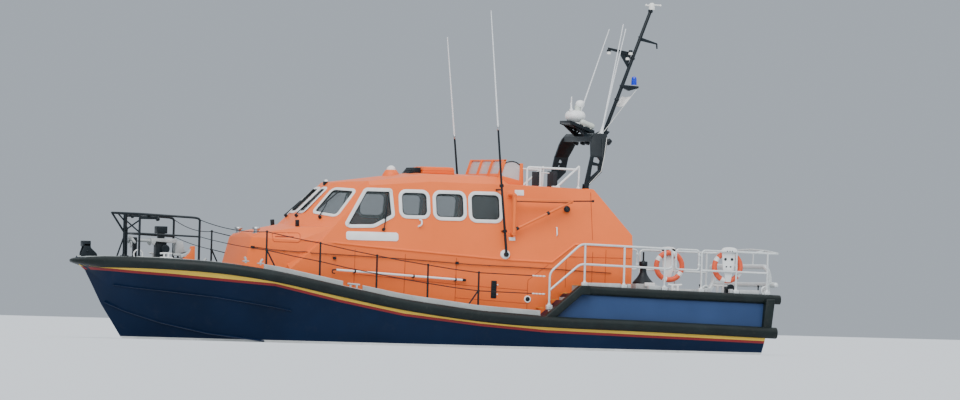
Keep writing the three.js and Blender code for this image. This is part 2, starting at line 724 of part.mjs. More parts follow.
// Upper steering position: three-pane screen on an orange frame with side wings
const UPPER_SCREEN = { x: -1600, foot: 3800, sill: 3950, top: 4290, lean: 110, halfWidth: 1220, thick: 45 };

function upperScreenFace(y0, y1, z0, z1, thick, back) {
  const { x, sill, top, lean } = UPPER_SCREEN;
  const at = (z) => x - (lean * (z - sill)) / (top - sill);
  return plateXZ([[at(z0) - back, z0], [at(z1) - back, z1], [at(z1) - back - thick, z1], [at(z0) - back - thick, z0]], y0, y1);
}

function makeUpperScreen() {
  const { halfWidth, foot, top, thick } = UPPER_SCREEN;
  let frame = upperScreenFace(-halfWidth, halfWidth, foot, top, thick, 0);
  [-1, 0, 1].forEach((k) => {
    const y = k * 800;
    frame = frame.subtract(upperScreenFace(y - 360, y + 360, 3990, 4250, thick * 3, -thick));
  });
  const wing = [[-1590, 3700], [-1650, 4100], [-1880, 4190], [-2070, 4150], [-2090, 4220], [-2170, 4220], [-2190, 3650]];
  [1, -1].forEach((side) => {
    frame = frame.add(plateXZ(wing, side * (halfWidth - 45), side * halfWidth));
  });
  return frame.subtract(houseOuter(GAP)).subtract(wellSpace(0).intersect(box(-9000, 9000, -1170, 1170, 0, 9000)));
}

function makeUpperPanes() {
  const panes = [-1, 0, 1].map((k) => {
    const y = k * 800;
    return upperScreenFace(y - 357, y + 357, 3993, 4247, 12, 12);
  });
  const strip = upperScreenFace(-1100, 1100, 3950, 4000, 10, UPPER_SCREEN.thick + GAP);
  const tie = [-1, 0, 1].map((k) => upperScreenFace(k * 800 - 300, k * 800 + 300, 3993, 4000, 40, 12));
  return join([...panes, ...tie, strip]);
}

function makeUpperHelm() {
  const floor = WELL.floor + GAP;
  return plateXZ([[WELL.x1 - 5, floor], [WELL.x1 - 5, 3690], [-2000, 3690], [-2120, 3500], [-1980, 3400],
    [-1980, floor]], -900, 900);
}

function makeUpperSeats() {
  const floor = WELL.floor + GAP;
  const pieces = [box(-3150, -2650, -820, 820, floor, floor + 120)];
  [-560, 560].forEach((y) => {
    pieces.push(box(-3020, -2780, y - 120, y + 120, floor + 100, 3250));
    pieces.push(box(-3140, -2640, y - 240, y + 240, 3240, 3400));
    pieces.push(box(-3150, -3020, y - 230, y + 230, 3300, 4080));
  });
  return join(pieces);
}

// White rails beside the upper steering position
function makeUpperRail(side) {
  const y = side * 1300;
  const r = 24;
  const z = 3640;
  return join([
    pipe([[-2240, y, z + 60], [-2240, y, 4140], [-3440, y, 4115]], r),
    pipe([[-2560, y, z], [-2560, y, 4133]], r * 0.9),
    pipe([[-2930, y, z], [-3490, y, 4190], [-3385, y, z]], r),
  ]).subtract(houseOuter(GAP));
}

// Mast

const MAST_HINGE = { x: -3655, z: 3755, y: 1300 };

// Each leg is an upright plate up to the bend and a plate leaning in to the beam above it.
// Outlines as [x, z]
const LEG_LOWER = [[-3610, 3735], [-3700, 3735], [-3779, 3833], [-4018, 4073], [-4037, 4235], [-4080, 4450], [-3757, 4450]];
const LEG_UPPER = [[-3756, 4420], [-4073, 4420], [-4136, 4580], [-4172, 4700], [-4200, 4780], [-4222, 4955],
  [-3925, 4955], [-3888, 4905], [-3838, 4830], [-3797, 4700]];
const LEG_BEND = { z: 4420, lean: 0.58 };
// The port leg is open; the starboard one is closed but for small slots.
const PORT_OPENINGS = [
  [[-3745, 3935], [-3785, 4222], [-3935, 4210], [-3938, 4112]],
  [[-3802, 4300], [-3820, 4405], [-3915, 4405], [-3978, 4335], [-3962, 4262]],
];
const STARBOARD_SLOTS = [
  [[-3838, 4294], [-3868, 4383], [-3930, 4326], [-3925, 4281]],
  [[-3825, 4200], [-3847, 4240], [-3880, 4232], [-3872, 4190]],
];

function mastLeg(side) {
  const y = side * MAST_HINGE.y;
  const upright = (outline, half) => plateXZ(outline, y - half, y + half);
  const leaning = (outline, half) => loft([-half, half].map((d) => outline.map(([x, z]) => (
    [x, y - side * LEG_BEND.lean * (z - LEG_BEND.z) + d, z]))));
  let leg = upright(LEG_LOWER, 42).add(leaning(LEG_UPPER, 45));
  (side > 0 ? PORT_OPENINGS : STARBOARD_SLOTS).forEach((hole) => {
    leg = leg.subtract(upright(hole, 120));
  });
  const { x, z } = MAST_HINGE;
  const pin = bar([x, side * (MAST_HINGE.y - 92 + GAP), z], [x, side * (MAST_HINGE.y + 62 - GAP), z], 22, 8);
  return leg.add(pin);
}

const BEAM = [[-3845, 4770], [-4195, 4770], [-4222, 4955], [-3925, 4955], [-3862, 4890]];
const PLATFORM = { x0: -3545, z0: 5245, x1: -4140, slope: 0.365, thick: 60, halfWidth: 380 };

function platformTop(x) {
  return PLATFORM.z0 - PLATFORM.slope * (PLATFORM.x0 - x);
}

function platformPlate(grow) {
  const { x0, x1, thick, halfWidth } = PLATFORM;
  return plateXZ([[x0 + grow, platformTop(x0) + grow], [x1 - grow, platformTop(x1) + grow],
    [x1 - grow, platformTop(x1) - thick - grow], [x0 + grow, platformTop(x0) - thick - grow]], -halfWidth - grow, halfWidth + grow);
}

function makeMastArch() {
  const beam = plateXZ(BEAM, -985, 985);
  const strut = [1, -1].map((side) => bar([-3590, side * 330, 5200], [-3930, side * 330, 4900], 30));
  return join([mastLeg(1), mastLeg(-1), beam, platformPlate(0), ...strut]);
}

// The hinge shoes stand on the roof, one each side of each leg's foot.
function mastShoe(side) {
  const { x, z, y } = MAST_HINGE;
  const outline = [[x - 62, 3600], [x - 42, z + 40], [x + 42, z + 40], [x + 62, 3600]];
  const cheek = (d) => plateXZ(outline, side * (y + d), side * (y + d + 18));
  const base = box(x - 50, x + 50, side * (y - 115), side * (y + 85), 3600, 3690);
  return join([cheek(-110), cheek(62), base]);
}

const POLE = { foot: [-4450, 0, 4860], top: [-5560, 0, 7860], radius: 46 };

function makeMastPole() {
  const lights = turned([[0, 0], [70, 0], [70, 150], [0, 160]], [-5575, 0, 7850], 8);
  const forwardArm = join([
    pipe([[-5150, 0, 6740], [-4540, 0, 6930]], 22),
    pipe([[-5070, 0, 6520], [-4780, 0, 6860]], 16),
    turned([[0, -70], [55, -70], [60, 60], [0, 70]], [-4540, 0, 6960], 8),
  ]);
  const aftArm = join([
    pipe([[-5300, 0, 7170], [-5720, 0, 7060]], 24),
    turned([[0, -110], [60, -110], [60, 10], [0, 20]], [-5730, 0, 7050], 8),
  ]);
  const bracket = box(-5260, -4850, -60, 60, 6050, 6085);
  const beacon = turned([[0, -10], [75, -10], [75, 150], [55, 200], [0, 210]], [-5180, 0, 6085], 8);
  return join([
    pipe([POLE.foot, POLE.top], POLE.radius, 8), lights, forwardArm, aftArm, bracket, beacon,
    plateXZ([[-4200, 4860], [-4200, 4945], [-4480, 5060], [-4480, 4850]], -70, 70),
  ]).subtract(mastBeamSkin());
}

function mastBeamSkin() {
  const grown = [[-3844.5, 4769.5], [-4195.5, 4769.5], [-4222.5, 4955.5], [-3924.5, 4955.5], [-3861.5, 4890.5]];
  return plateXZ(grown, -985.5, 985.5).add(platformPlate(0.5));
}

const PLATFORM_NORMAL = [-365, 0, 1000];

function makeRadome() {
  const x = -3790;
  const seat = turned([[0, GAP], [150, GAP], [150, 110], [0, 110]], [x, 0, platformTop(x)], 12, PLATFORM_NORMAL);
  const scanner = turned([[0, 0], [165, 0], [225, 70], [237, 115], [225, 180], [180, 232], [100, 255], [0, 258]],
    [x, 0, platformTop(x) + 75], 12);
  const pedestal = turned([[0, 0], [73, 0], [73, 120], [0, 120]], [-3845, 0, 5475], 8);
  const dome = turned([[0, 0], [85, 0], [104, 30], [104, 95], [60, 150], [0, 160]], [-3900, 0, 5565], 8);
  return join([seat, scanner, pedestal, dome]);
}

function makeCanister() {
  const y = 355;
  const at = (x, lift) => [x, y, platformTop(x) + lift];
  const saddles = [-3880, -4040].map((x) => plateXZ([x - 22, x + 22].flatMap((e) => [[e, platformTop(e) + GAP]])
    .concat([[x + 22, platformTop(x) + 90], [x - 22, platformTop(x) + 90]]), y - 45, y + 45));
  return join([bar(at(-3800, 76), at(-4130, 76), 66, 12), ...saddles]);
}

// Aerials: lower x, y, z, upper x, y, z
const MAST_WHIPS = [
  [-3915, -330, platformTop(-3915), -4670, -330, 7380],
  [-4140, 880, 4955, -4600, 880, 7480],
  [-4180, 720, 4955, -4715, 720, 7375],
];

function makeMastWhip(row) {
  const [x0, y0, z0, x1, y1, z1] = row;
  return bar([x0, y0, z0 + 20], [x1, y1, z1], 22, 6, 10)
    .add(turned([[0, -20], [45, -20], [35, 80], [0, 90]], [x0, y0, z0], 6))
    .subtract(mastBeamSkin());
}

// Side aerials on the house walls
// (the starboard one stands a little further aft and is shorter)
function makeSideWhip(side) {
  const y = side * 1960;
  const back = side > 0 ? 0 : -187;
  const x = -1580 + back;
  const tip = side > 0 ? [-1085, 1880, 7660] : [-1270, -1880, 7110];
  const base = bar([x, side * (wallY(2130) + GAP * 2), 2130], [x, y + side * 30, 2130], 110, 10);
  const clampPoint = [-1440 + back, side * 1900, 3690];
  const pole = bar([x, y, 2130], clampPoint, 32, 8);
  const slim = bar(clampPoint, tip, 26, 8, 10);
  const clamp = bar([-1447 + back, side * (wallY(3600) + 4), 3600], [-1447 + back, side * 1905, 3600], 28, 8);
  return join([base, pole, slim, clamp]).subtract(houseOuter(GAP));
}

// Recovery davit on the port side, folded along the house
const DAVIT = { x: -1760, y: 1900, foot: 2620, head: 3460, reach: 1400 };

function makeDavitHinge() {
  const { x, y, foot, head } = DAVIT;
  const pieces = [bar([x, y, foot - 90], [x, y, head + 70], 26, 8)];
  [foot - 22 - GAP, head + 28].forEach((z) => {
    pieces.push(box(x - 45, x + 45, wallY(z) + 2, y + 10, z - 22, z + 22));
  });
  return join(pieces).subtract(houseOuter(GAP));
}

function makeDavitBoom() {
  const { x, y, foot, head, reach } = DAVIT;
  const post = bar([x, y, foot], [x, y, head], 48, 10).subtract(bar([x, y, foot - 5], [x, y, head + 5], 28, 10));
  const arm = box(x - reach, x - 40, y - 28, y + 28, head - 110, head - 50);
  const brace = bar([x - 42, y, foot + 90], [x - reach + 30, y, head - 80], 28, 6);
  const tip = bar([x - reach + 20, y, head - 80], [x - 1900, y, head - 60], 18, 6);
  return join([post, arm, brace, tip]).subtract(bar([x, y, foot - 5], [x, y, head + 5], 28, 10));
}

// Boat hook in clips on the port side
function makeBoatHook() {
  const y = 1905;
  const pole = bar([2440, y, 1680], [-590, y, 1525], 24, 8);
  const clips = [2000, 600, -400].map((x) => box(x - 25, x + 25, 1600, y, 1540 + (x + 590) * 0.05, 1580 + (x + 590) * 0.05));
  return join([pole, ...clips]).subtract(houseOuter(GAP));
}

// Foredeck

function makePulpit() {
  const r = 26;
  const parts = [];
  [1, -1].forEach((side) => {
    const aft = (z) => [5430, side * 1020, z];
    const mid = (z) => [6720, side * 600, z];
    parts.push(pipe([aft(1700), aft(2670), [5530, side * 1000, 2772], mid(2828), [7206, 0, 2841]], r));
    parts.push(pipe([aft(2344), mid(2385)], r * 0.8));
    parts.push(pipe([mid(1700), mid(2828)], r));
    parts.push(pipe([[6900, 0, 2700], mid(2410)], r * 0.7));
    parts.push(pipe([[6900, 0, 2440], mid(2690)], r * 0.7));
  });
  parts.push(pipe([[6885, 0, 1700], [6885, 0, 2833]], 45, 8));
  parts.push(pipe([[6900, 0, 2400], [7190, 0, 2820]], r * 0.8));
  parts.push(pipe([[6900, 0, 2330], [7060, 0, 1750]], r * 0.7));
  parts.push(pipe([[6720, -600, 2385], [6720, 600, 2385]], r * 0.8));
  parts.push(box(6240, 6890, -30, 30, 2730, 2805).add(pipe([[6350, -725, 2809], [6350, 725, 2809]], r))
    .add(pipe([[6790, -514, 2829], [6790, 514, 2829]], r * 0.8)));
  return seated(join(parts));
}

function makeAnchorGear() {
  const post = box(5920, 6160, -130, 130, 1700, 2560);
  const drum = bar([5980, -230, 2050], [5980, 230, 2050], 100, 8);
  const base = box(5400, 6800, -130, 130, 1700, 1880);
  const shank = pipe([[6780, 0, 2330], [6000, 0, 2200]], 38, 6);
  const stock = pipe([[6720, -260, 2180], [6760, 0, 2330], [6720, 260, 2180]], 32, 6);
  const chock = box(6600, 6700, -60, 60, 1700, 2310);
  const horns = [5480, 5620].map((x) => pipe([[x, 0, 1800], [x, 0, 1990]], 24));
  const cross = pipe([[5400, 0, 1980], [5700, 0, 1980]], 22);
  return seated(join([post, drum, base, shank, stock, chock, ...horns, cross]));
}

function makeBowFairlead() {
  const outline = [[7930, 1700], [7915, 2180], [7720, 2180], [7700, 2000], [7560, 1930], [7520, 1700]];
  return seated(plateXZ(outline, -110, 110)).subtract(fenderSkin);
}

// Vents on the trunk
function makeVent(side) {
  return turned([[0, -120], [60, -120], [60, 60], [95, 60], [95, 110], [60, 135], [0, 140]],
    [3990, side * 690, 2480], 10).subtract(houseOuter(GAP));
}

// Guard rails along the side deck

const GUARD_POSTS = [4180, 2950, 1620, 410, -800];
const GUARD_HEIGHT = 900;
const SIDE_DECK_Z = 735;

function guardPoint(side, x, lift) {
  const [, y, z] = deckEdge(x, 190);
  return [x, side * y, z + lift];
}

function makeGuardRail(side) {
  const parts = GUARD_POSTS.map((x) => bar(guardPoint(side, x, -60), guardPoint(side, x, GUARD_HEIGHT), 26, 6));
  GUARD_POSTS.forEach((x) => parts.push(bar(guardPoint(side, x, -60), guardPoint(side, x, 60), 60, 8)));
  const heights = [GUARD_HEIGHT - 20, GUARD_HEIGHT * 0.52];
  heights.forEach((h) => {
    const run = GUARD_POSTS.map((x) => guardPoint(side, x, h));
    parts.push(pipe([...run, [-2440, side * 2230, SIDE_DECK_Z + h * 0.98 + 60]], 8, 4));
  });
  parts.push(bar(guardPoint(side, 4180, 480), guardPoint(side, 3900, -60), 18, 5));
  parts.push(bar(guardPoint(side, -800, 480), guardPoint(side, -480, -60), 18, 5));
  return seated(join(parts));
}

// Grey rails round the after deck

const AFT_RAIL = { height: 940, mid: 485, radius: 25, inset: 90 };

function aftPoint(side, x, lift) {
  const y = tableAt(QUARTER, Math.min(x, -3230), 3) - AFT_RAIL.inset;
  const z = tableAt(QUARTER, Math.min(x, -3230), 4);
  return [x, side * y, z + lift];
}

function makeAftRail(side) {
  const r = AFT_RAIL.radius;
  const { height, mid } = AFT_RAIL;
  const low = [-2540, side * 2230, 700];
  const post = (x, h) => pipe([aftPoint(side, x, -50), aftPoint(side, x, h)], r);
  const parts = [
    pipe([low, [-2540, side * 2230, 1747], aftPoint(side, -3260, height), aftPoint(side, -5400, height)], r),
    pipe([[-2540, side * 2230, 1341], aftPoint(side, -3250, mid), aftPoint(side, -5400, mid)], r),
    pipe([aftPoint(side, -5400, mid), aftPoint(side, -5470, mid + 70), aftPoint(side, -5470, height - 70),
      aftPoint(side, -5400, height)], r),
    post(-3360, height), post(-4310, height), post(-5290, height),
  ];
  [-3360, -4310, -5290].forEach((x) => parts.push(footBlock(aftPoint(side, x, 0))));
  parts.push(footBlock([-2540, side * 2230, 945]));
  return seated(join(parts));
}

function footBlock([x, y, z]) {
  return box(x - 70, x + 70, y - 50, y + 50, z - 50, z + 70);
}

function makeSternRail() {
  const r = AFT_RAIL.radius;
  const { height, mid } = AFT_RAIL;
  const parts = [];
  [1, -1].forEach((side) => {
    const at = (x, h) => aftPoint(side, x, h);
    parts.push(pipe([at(-6190, mid), at(-7800, mid)], r));
    [-7040, -7800].forEach((x) => parts.push(pipe([at(x, -50), at(x, height)], r)));
    [-6190, -7040, -7800].forEach((x) => parts.push(footBlock(at(x, 0))));
  });
  const half = (side) => {
    const [, y, z] = aftPoint(side, -7800, height);
    return [aftPoint(side, -6190, -50), aftPoint(side, -6190, height), [-7800, y, z], [-7990, y - side * 9, z],
      [-8090, y - side * 110, z], [-8110, side * 1000, z + 65]];
  };
  const crown = [-8110, 0, aftPoint(1, -7800, height)[2] + 90];
  parts.push(pipe([...half(1), crown, ...half(-1).reverse()], r));
  return seated(join(parts));
}

// Gates swing inboard on the fourth post.
const GATE = { hingeX: -6190, x0: -6120, x1: -5560, low: 485, high: 940, radius: 22 };

function makeGate(side) {
  const { x0, x1, low, high, radius } = GATE;
  const corners = [[x0, low], [x1 - 60, low], [x1, low + 60], [x1, high - 60], [x1 - 60, high], [x0, high]];
  const frame = pipe(corners.map(([x, lift]) => aftPoint(side, x, lift)), radius, 6, true);
  const lugs = [low + 110, high - 110].map((lift) => {
    const [x, y, z] = aftPoint(side, GATE.hingeX, lift);
    return box(x + AFT_RAIL.radius + GAP, x0, y - 14, y + 14, z - 25, z + 25);
  });
  return join([frame, ...lugs]);
}

// Stern gear

function makeSternHoop() {
  const r = 58;
  const y = 1950;
  const parts = [];
  [1, -1].forEach((side) => {
    parts.push(pipe([[-7770, side * y, 1250], [-7790, side * y, 1400], [-7950, side * y, 1710], [-7840, side * y, 2010]], r, 8));
  });
  parts.push(pipe([[-7840, -y, 2010], [-7840, y, 2010]], r, 8));
  parts.push(pipe([[-7990, -y - 300, 1600], [-7990, y + 300, 1600]], r, 8));
  return seated(join(parts));
}

function makeTowPost() {
  const z = 1340;
  const profile = [[0, -80], [270, -80], [260, 60], [120, 260], [95, 300], [95, 560], [110, 570], [110, 720], [0, 730]];
  return seated(turned(profile, [-5530, 0, z], 10).add(pipe([[-5530, 0, z + 700], [-5530, 0, z + 950]], 26)));
}

function makeLifebuoy(side) {
  const [x, y, z] = [-6860, side * 2060, 1985];
  const geometry = new THREE.TorusGeometry(315, 62, 6, 20);
  geometry.rotateX(Math.PI / 2);
  geometry.translate(x, y, z);
  const board = plateXZ([[x - 190, 2420], [x + 190, 2420], [x + 120, 1900], [x + 50, 1640], [x - 50, 1640], [x - 120, 1900]],
    side * 2119, side * 2095);
  const hooks = [485, 940].map((lift) => {
    const [, railY, railZ] = aftPoint(1, x - 20, lift);
    const railFace = AFT_RAIL.radius * Math.cos(Math.PI / 6);
    return box(x - 20, x + 20, side * 2110, side * (railY - railFace - 3 * GAP), railZ - 12, railZ + 12);
  });
  const pegs = [-150, 150].map((dz) => bar([x, side * 2060, z + dz * 2.1], [x, side * 2110, z + dz * 2.1], 40, 6));
  return join([solidOf(geometry), board, ...pegs, ...hooks]);
}

function makeWinch() {
  return seated(join([
    box(-7320, -7120, 1000, 1240, 1250, 1500),
    bar([-7220, 940, 1510], [-7220, 1300, 1510], 90, 10),
  ]));
}

// The door over the stern garage, hinged along its foot
function makeTransomDoor() {
  const { halfWidth, z0, z1 } = GARAGE;
  const inset = 8;
  const at = (z, d) => transomX(z) + d;
  return plateXZ([[at(z0, 4), z0 + GAP], [at(z1 - inset, 4), z1 - inset],
    [at(z1 - inset, 50), z1 - inset], [at(z0, 50), z0 + GAP]], -halfWidth + inset, halfWidth - inset);
}

// Assembly

const boat = new THREE.Group();
const add = (name, solid, finish) => boat.add(meshOf(name, solid, finish));

add('hull', makeHull(), 'navy');
add('fender', makeFender(), 'fender');
add('wheelhouse', makeHouse(), 'orange');
add('cabin_sole', makeSole(), 'interior');
add('helm_console', makeConsole(), 'interior');
add('crew_seats', makeSeats(), 'seat');
add('wheelhouse_door', makeDoor(), 'orange');
add('front_windows', makeFrontWindows(), 'glass');
add('raft_locker', makeRaftLocker(), 'orange');
add('roof_dome', makeRoofDome(), 'whitePaint');
add('upper_screen', makeUpperScreen(), 'orange');
add('upper_panes', makeUpperPanes(), 'glass');
add('upper_helm', makeUpperHelm(), 'orange');
add('upper_seats', makeUpperSeats(), 'seat');
add('mast_arch', makeMastArch(), 'blackPaint');
add('mast_pole', makeMastPole(), 'blackPaint');
add('radome', makeRadome(), 'whitePaint');
add('mast_canister', makeCanister(), 'whitePaint');
MAST_WHIPS.forEach((row, i) => add(`mast_whip_${i + 1}`, makeMastWhip(row), 'whip'));
add('davit_hinge', makeDavitHinge(), 'orange');
add('davit_boom', makeDavitBoom(), 'orange');
add('boat_hook', makeBoatHook(), 'whitePaint');
add('pulpit', makePulpit(), 'blackPaint');
add('anchor_gear', makeAnchorGear(), 'blackPaint');
add('bow_fairlead', makeBowFairlead(), 'blackPaint');
add('stern_rail', makeSternRail(), 'aluminium');
add('stern_hoop', makeSternHoop(), 'aluminium');
add('tow_post', makeTowPost(), 'blackPaint');
add('stern_winch', makeWinch(), 'blackPaint');
add('transom_door', makeTransomDoor(), 'navy');
Object.entries(SIDES).forEach(([name, side]) => {
  add(`shaft_line_${name}`, makeShaftLine(side), 'steel');
  add(`propeller_${name}`, makePropeller(side), 'bronze');
  add(`rudder_${name}`, makeRudder(side), 'antifoul');
  add(`toe_rail_${name}`, makeToeRail(side), 'deckGrey');
  add(`side_windows_${name}`, makeSideWindows(side), 'glass');
  add(`quarter_window_${name}`, makeQuarterWindow(side), 'glass');
  add(`upper_rail_${name}`, makeUpperRail(side), 'whitePaint');
  add(`side_whip_${name}`, makeSideWhip(side), 'whip');
  add(`vent_${name}`, makeVent(side), 'steel');
  add(`guard_rail_${name}`, makeGuardRail(side), 'blackPaint');
  add(`aft_rail_${name}`, makeAftRail(side), 'aluminium');
  add(`rail_gate_${name}`, makeGate(side), 'aluminium');
  add(`lifebuoy_${name}`, makeLifebuoy(side), 'buoy');
});

export default boat;
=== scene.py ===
# An all-weather lifeboat 16.3 m long, afloat at rest. Metres, in the frame's own axes:
# +X to the bow, +Y to port, +Z up, and the origin amidships at the waterline.
import bmesh
import bpy
import math
from mathutils import Matrix, Vector
from mathutils.bvhtree import BVHTree


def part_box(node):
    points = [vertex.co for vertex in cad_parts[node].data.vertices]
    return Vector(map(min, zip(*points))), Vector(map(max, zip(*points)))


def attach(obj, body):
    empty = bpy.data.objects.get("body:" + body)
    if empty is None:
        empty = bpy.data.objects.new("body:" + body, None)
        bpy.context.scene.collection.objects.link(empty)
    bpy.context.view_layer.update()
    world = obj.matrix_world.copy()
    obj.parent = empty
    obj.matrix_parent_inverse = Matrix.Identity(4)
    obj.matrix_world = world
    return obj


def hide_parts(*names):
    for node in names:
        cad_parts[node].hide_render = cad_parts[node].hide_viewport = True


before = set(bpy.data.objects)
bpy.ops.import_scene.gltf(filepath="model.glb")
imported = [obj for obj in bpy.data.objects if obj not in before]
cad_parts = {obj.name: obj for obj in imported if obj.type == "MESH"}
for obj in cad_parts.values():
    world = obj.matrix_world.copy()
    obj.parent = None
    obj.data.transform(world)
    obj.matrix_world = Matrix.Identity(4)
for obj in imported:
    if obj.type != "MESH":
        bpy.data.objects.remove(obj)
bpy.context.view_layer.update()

# Camera
# Far off the port bow and almost at water level. The boat rides 1.5 degrees bow up in the
# photograph, so the camera is rolled by as much.
BEAM_ANGLE = math.radians(18.0)
STAND_OFF = 300.0
EYE_HEIGHT = 0.6
LOOK_AT = Vector((-1.55, 0.0, 3.37))
BOW_UP = math.radians(1.5)

eye = Vector((LOOK_AT.x + STAND_OFF * math.sin(BEAM_ANGLE), STAND_OFF * math.cos(BEAM_ANGLE), EYE_HEIGHT))
sight = (LOOK_AT - eye).normalized()
level = sight.cross(Vector((0, 0, 1))).normalized()
upright = level.cross(sight)
right = math.cos(BOW_UP) * level + math.sin(BOW_UP) * upright
up = math.cos(BOW_UP) * upright - math.sin(BOW_UP) * level
lens = bpy.data.cameras.new("long_lens")
lens.lens = 492.2
lens.sensor_width = 36.0
lens.clip_end = 3000.0
camera = bpy.data.objects.new("camera", lens)
bpy.context.scene.collection.objects.link(camera)
camera.matrix_world = Matrix.Translation(eye) @ Matrix((right, up, -sight)).transposed().to_4x4()
bpy.context.scene.camera = camera

# Floor and daylight
# A pale floor stands in for the water at the boat's waterline, under broad soft light from above
# and from the port bow.
FLOOR_REACH = 900.0

floor_mesh = bpy.data.meshes.new("floor")
sketch = bmesh.new()
bmesh.ops.create_grid(sketch, x_segments=1, y_segments=1, size=FLOOR_REACH)
sketch.to_mesh(floor_mesh)
sketch.free()
floor = bpy.data.objects.new("floor", floor_mesh)
bpy.context.scene.collection.objects.link(floor)
pale = bpy.data.materials.new("pale_floor")
pale.use_nodes = True
pale_shader = pale.node_tree.nodes["Principled BSDF"]
pale_shader.inputs["Base Color"].default_value = (0.62, 0.65, 0.68, 1)
pale_shader.inputs["Roughness"].default_value = 0.9
floor_mesh.materials.append(pale)

sky = bpy.data.worlds.new("sky")
sky.use_nodes = True
sky.node_tree.nodes["Background"].inputs["Color"].default_value = (0.60, 0.67, 0.75, 1)
sky.node_tree.nodes["Background"].inputs["Strength"].default_value = 0.72
bpy.context.scene.world = sky

# Broad lights: name, where the light comes from, strength, width of the source in degrees
for light_name, source, strength, width in [
        ("key_light", (0.35, 0.62, 0.70), 2.65, 50),
        ("top_light", (-0.1, 0.2, 1.0), 1.7, 110),
        ("far_light", (-0.6, -0.6, 0.5), 0.5, 90)]:
    lamp = bpy.data.lights.new(light_name, "SUN")
    lamp.energy = strength
    lamp.angle = math.radians(width)
    light = bpy.data.objects.new(light_name, lamp)
    light.rotation_euler = (-Vector(source)).to_track_quat("-Z", "Y").to_euler()
    bpy.context.scene.collection.objects.link(light)

# Hull
# Fibre-reinforced plastic moulding, navy above the waterline and white below, with yellow and
# dark red bands under the belt fender; the flat quarter sides get a lighter blue as a painted sheen.


def finish(name, colour, rough, metal=0.0, mottle=0.12, patch=1.2, grain=60.0, relief=0.1,
           shine=0.5, grime=0.0):
    """A finish with patches of slightly different tone, an uneven gloss, a fine relief and grime."""
    material = bpy.data.materials.new(name)
    material.use_nodes = True
    tree = material.node_tree
    shader = tree.nodes["Principled BSDF"]
    shader.inputs["Metallic"].default_value = metal
    shader.inputs["Specular IOR Level"].default_value = shine
    link = tree.links.new
    place = tree.nodes.new("ShaderNodeTexCoord")
    patches = tree.nodes.new("ShaderNodeTexNoise")
    patches.inputs["Scale"].default_value = patch
    patches.inputs["Detail"].default_value = 6.0
    link(place.outputs["Object"], patches.inputs["Vector"])
    tones = tree.nodes.new("ShaderNodeValToRGB")
    tones.color_ramp.elements[0].position = 0.3
    tones.color_ramp.elements[1].position = 0.7
    for stop, share in zip(tones.color_ramp.elements, (1 - mottle, 1 + mottle)):
        stop.color = (*(min(1.0, c * share) for c in colour), 1)
    link(patches.outputs["Fac"], tones.inputs["Fac"])
    if grime:
        spots = tree.nodes.new("ShaderNodeTexNoise")
        spots.inputs["Scale"].default_value = patch * 5.3
        spots.inputs["Detail"].default_value = 8.0
        spots.inputs["Roughness"].default_value = 0.7
        link(place.outputs["Object"], spots.inputs["Vector"])
        dirty = tree.nodes.new("ShaderNodeMapRange")
        dirty.inputs["From Min"].default_value = 0.55
        dirty.inputs["From Max"].default_value = 0.75
        dirty.inputs["To Max"].default_value = grime
        link(spots.outputs["Fac"], dirty.inputs["Value"])
        soiled = tree.nodes.new("ShaderNodeMix")
        soiled.data_type = "RGBA"
        soiled.inputs["B"].default_value = (0.09, 0.08, 0.065, 1)
        link(dirty.outputs["Result"], soiled.inputs["Factor"])
        link(tones.outputs["Color"], soiled.inputs["A"])
        link(soiled.outputs["Result"], shader.inputs["Base Color"])
    else:
        link(tones.outputs["Color"], shader.inputs["Base Color"])
    fine = tree.nodes.new("ShaderNodeTexNoise")
    fine.inputs["Scale"].default_value = grain
    fine.inputs["Detail"].default_value = 3.0
    link(place.outputs["Object"], fine.inputs["Vector"])
    gloss = tree.nodes.new("ShaderNodeMapRange")
    gloss.inputs["To Min"].default_value = max(0.02, rough - 0.1)
    gloss.inputs["To Max"].default_value = min(1.0, rough + 0.1)
    link(patches.outputs["Fac"], gloss.inputs["Value"])
    link(gloss.outputs["Result"], shader.inputs["Roughness"])
    bump = tree.nodes.new("ShaderNodeBump")
    bump.inputs["Strength"].default_value = relief
    bump.inputs["Distance"].default_value = 0.002
    link(fine.outputs["Fac"], bump.inputs["Height"])
    link(bump.outputs["Normal"], shader.inputs["Normal"])
    return material


def solid_of(node):
    """A node's own shape with its loose triangles joined and its flat faces whole."""
    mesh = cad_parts[node].data.copy()
    if "custom_normal" in mesh.attributes:
        mesh.attributes.remove(mesh.attributes["custom_normal"])
    work = bmesh.new()
    work.from_mesh(mesh)
    bpy.data.meshes.remove(mesh)
    bmesh.ops.remove_doubles(work, verts=work.verts, dist=0.00012)
    bmesh.ops.dissolve_limit(work, angle_limit=math.radians(0.4), verts=work.verts, edges=work.edges)
    return work


def put(work, name, materials, body="root", node=None, sharp=35.0):
    """Finishes a piece: creases past an angle stay sharp, and it rides on its body."""
    crease = math.radians(sharp)
    for face in work.faces:
        face.smooth = True
    for edge in work.edges:
        if len(edge.link_faces) == 2 and edge.calc_face_angle(0.0) > crease:
            edge.smooth = False
    mesh = bpy.data.meshes.new(name)
    work.to_mesh(mesh)
    work.free()
    for material in materials:
        mesh.materials.append(material)
    piece = bpy.data.objects.new(name, mesh)
    bpy.context.scene.collection.objects.link(piece)
    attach(piece, body)
    if node:
        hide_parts(*([node] if isinstance(node, str) else node))
    return piece


def soften(work, width, over=40.0, segments=2):
    """Rounds the edges that turn by more than an angle."""
    turn = math.radians(over)
    sharp_edges = [e for e in work.edges if len(e.link_faces) == 2 and e.calc_face_angle(0.0) > turn]
    bmesh.ops.bevel(work, geom=sharp_edges, offset=width, offset_type="OFFSET", segments=segments,
                    profile=0.5, affect="EDGES", material=-1, clamp_overlap=True)


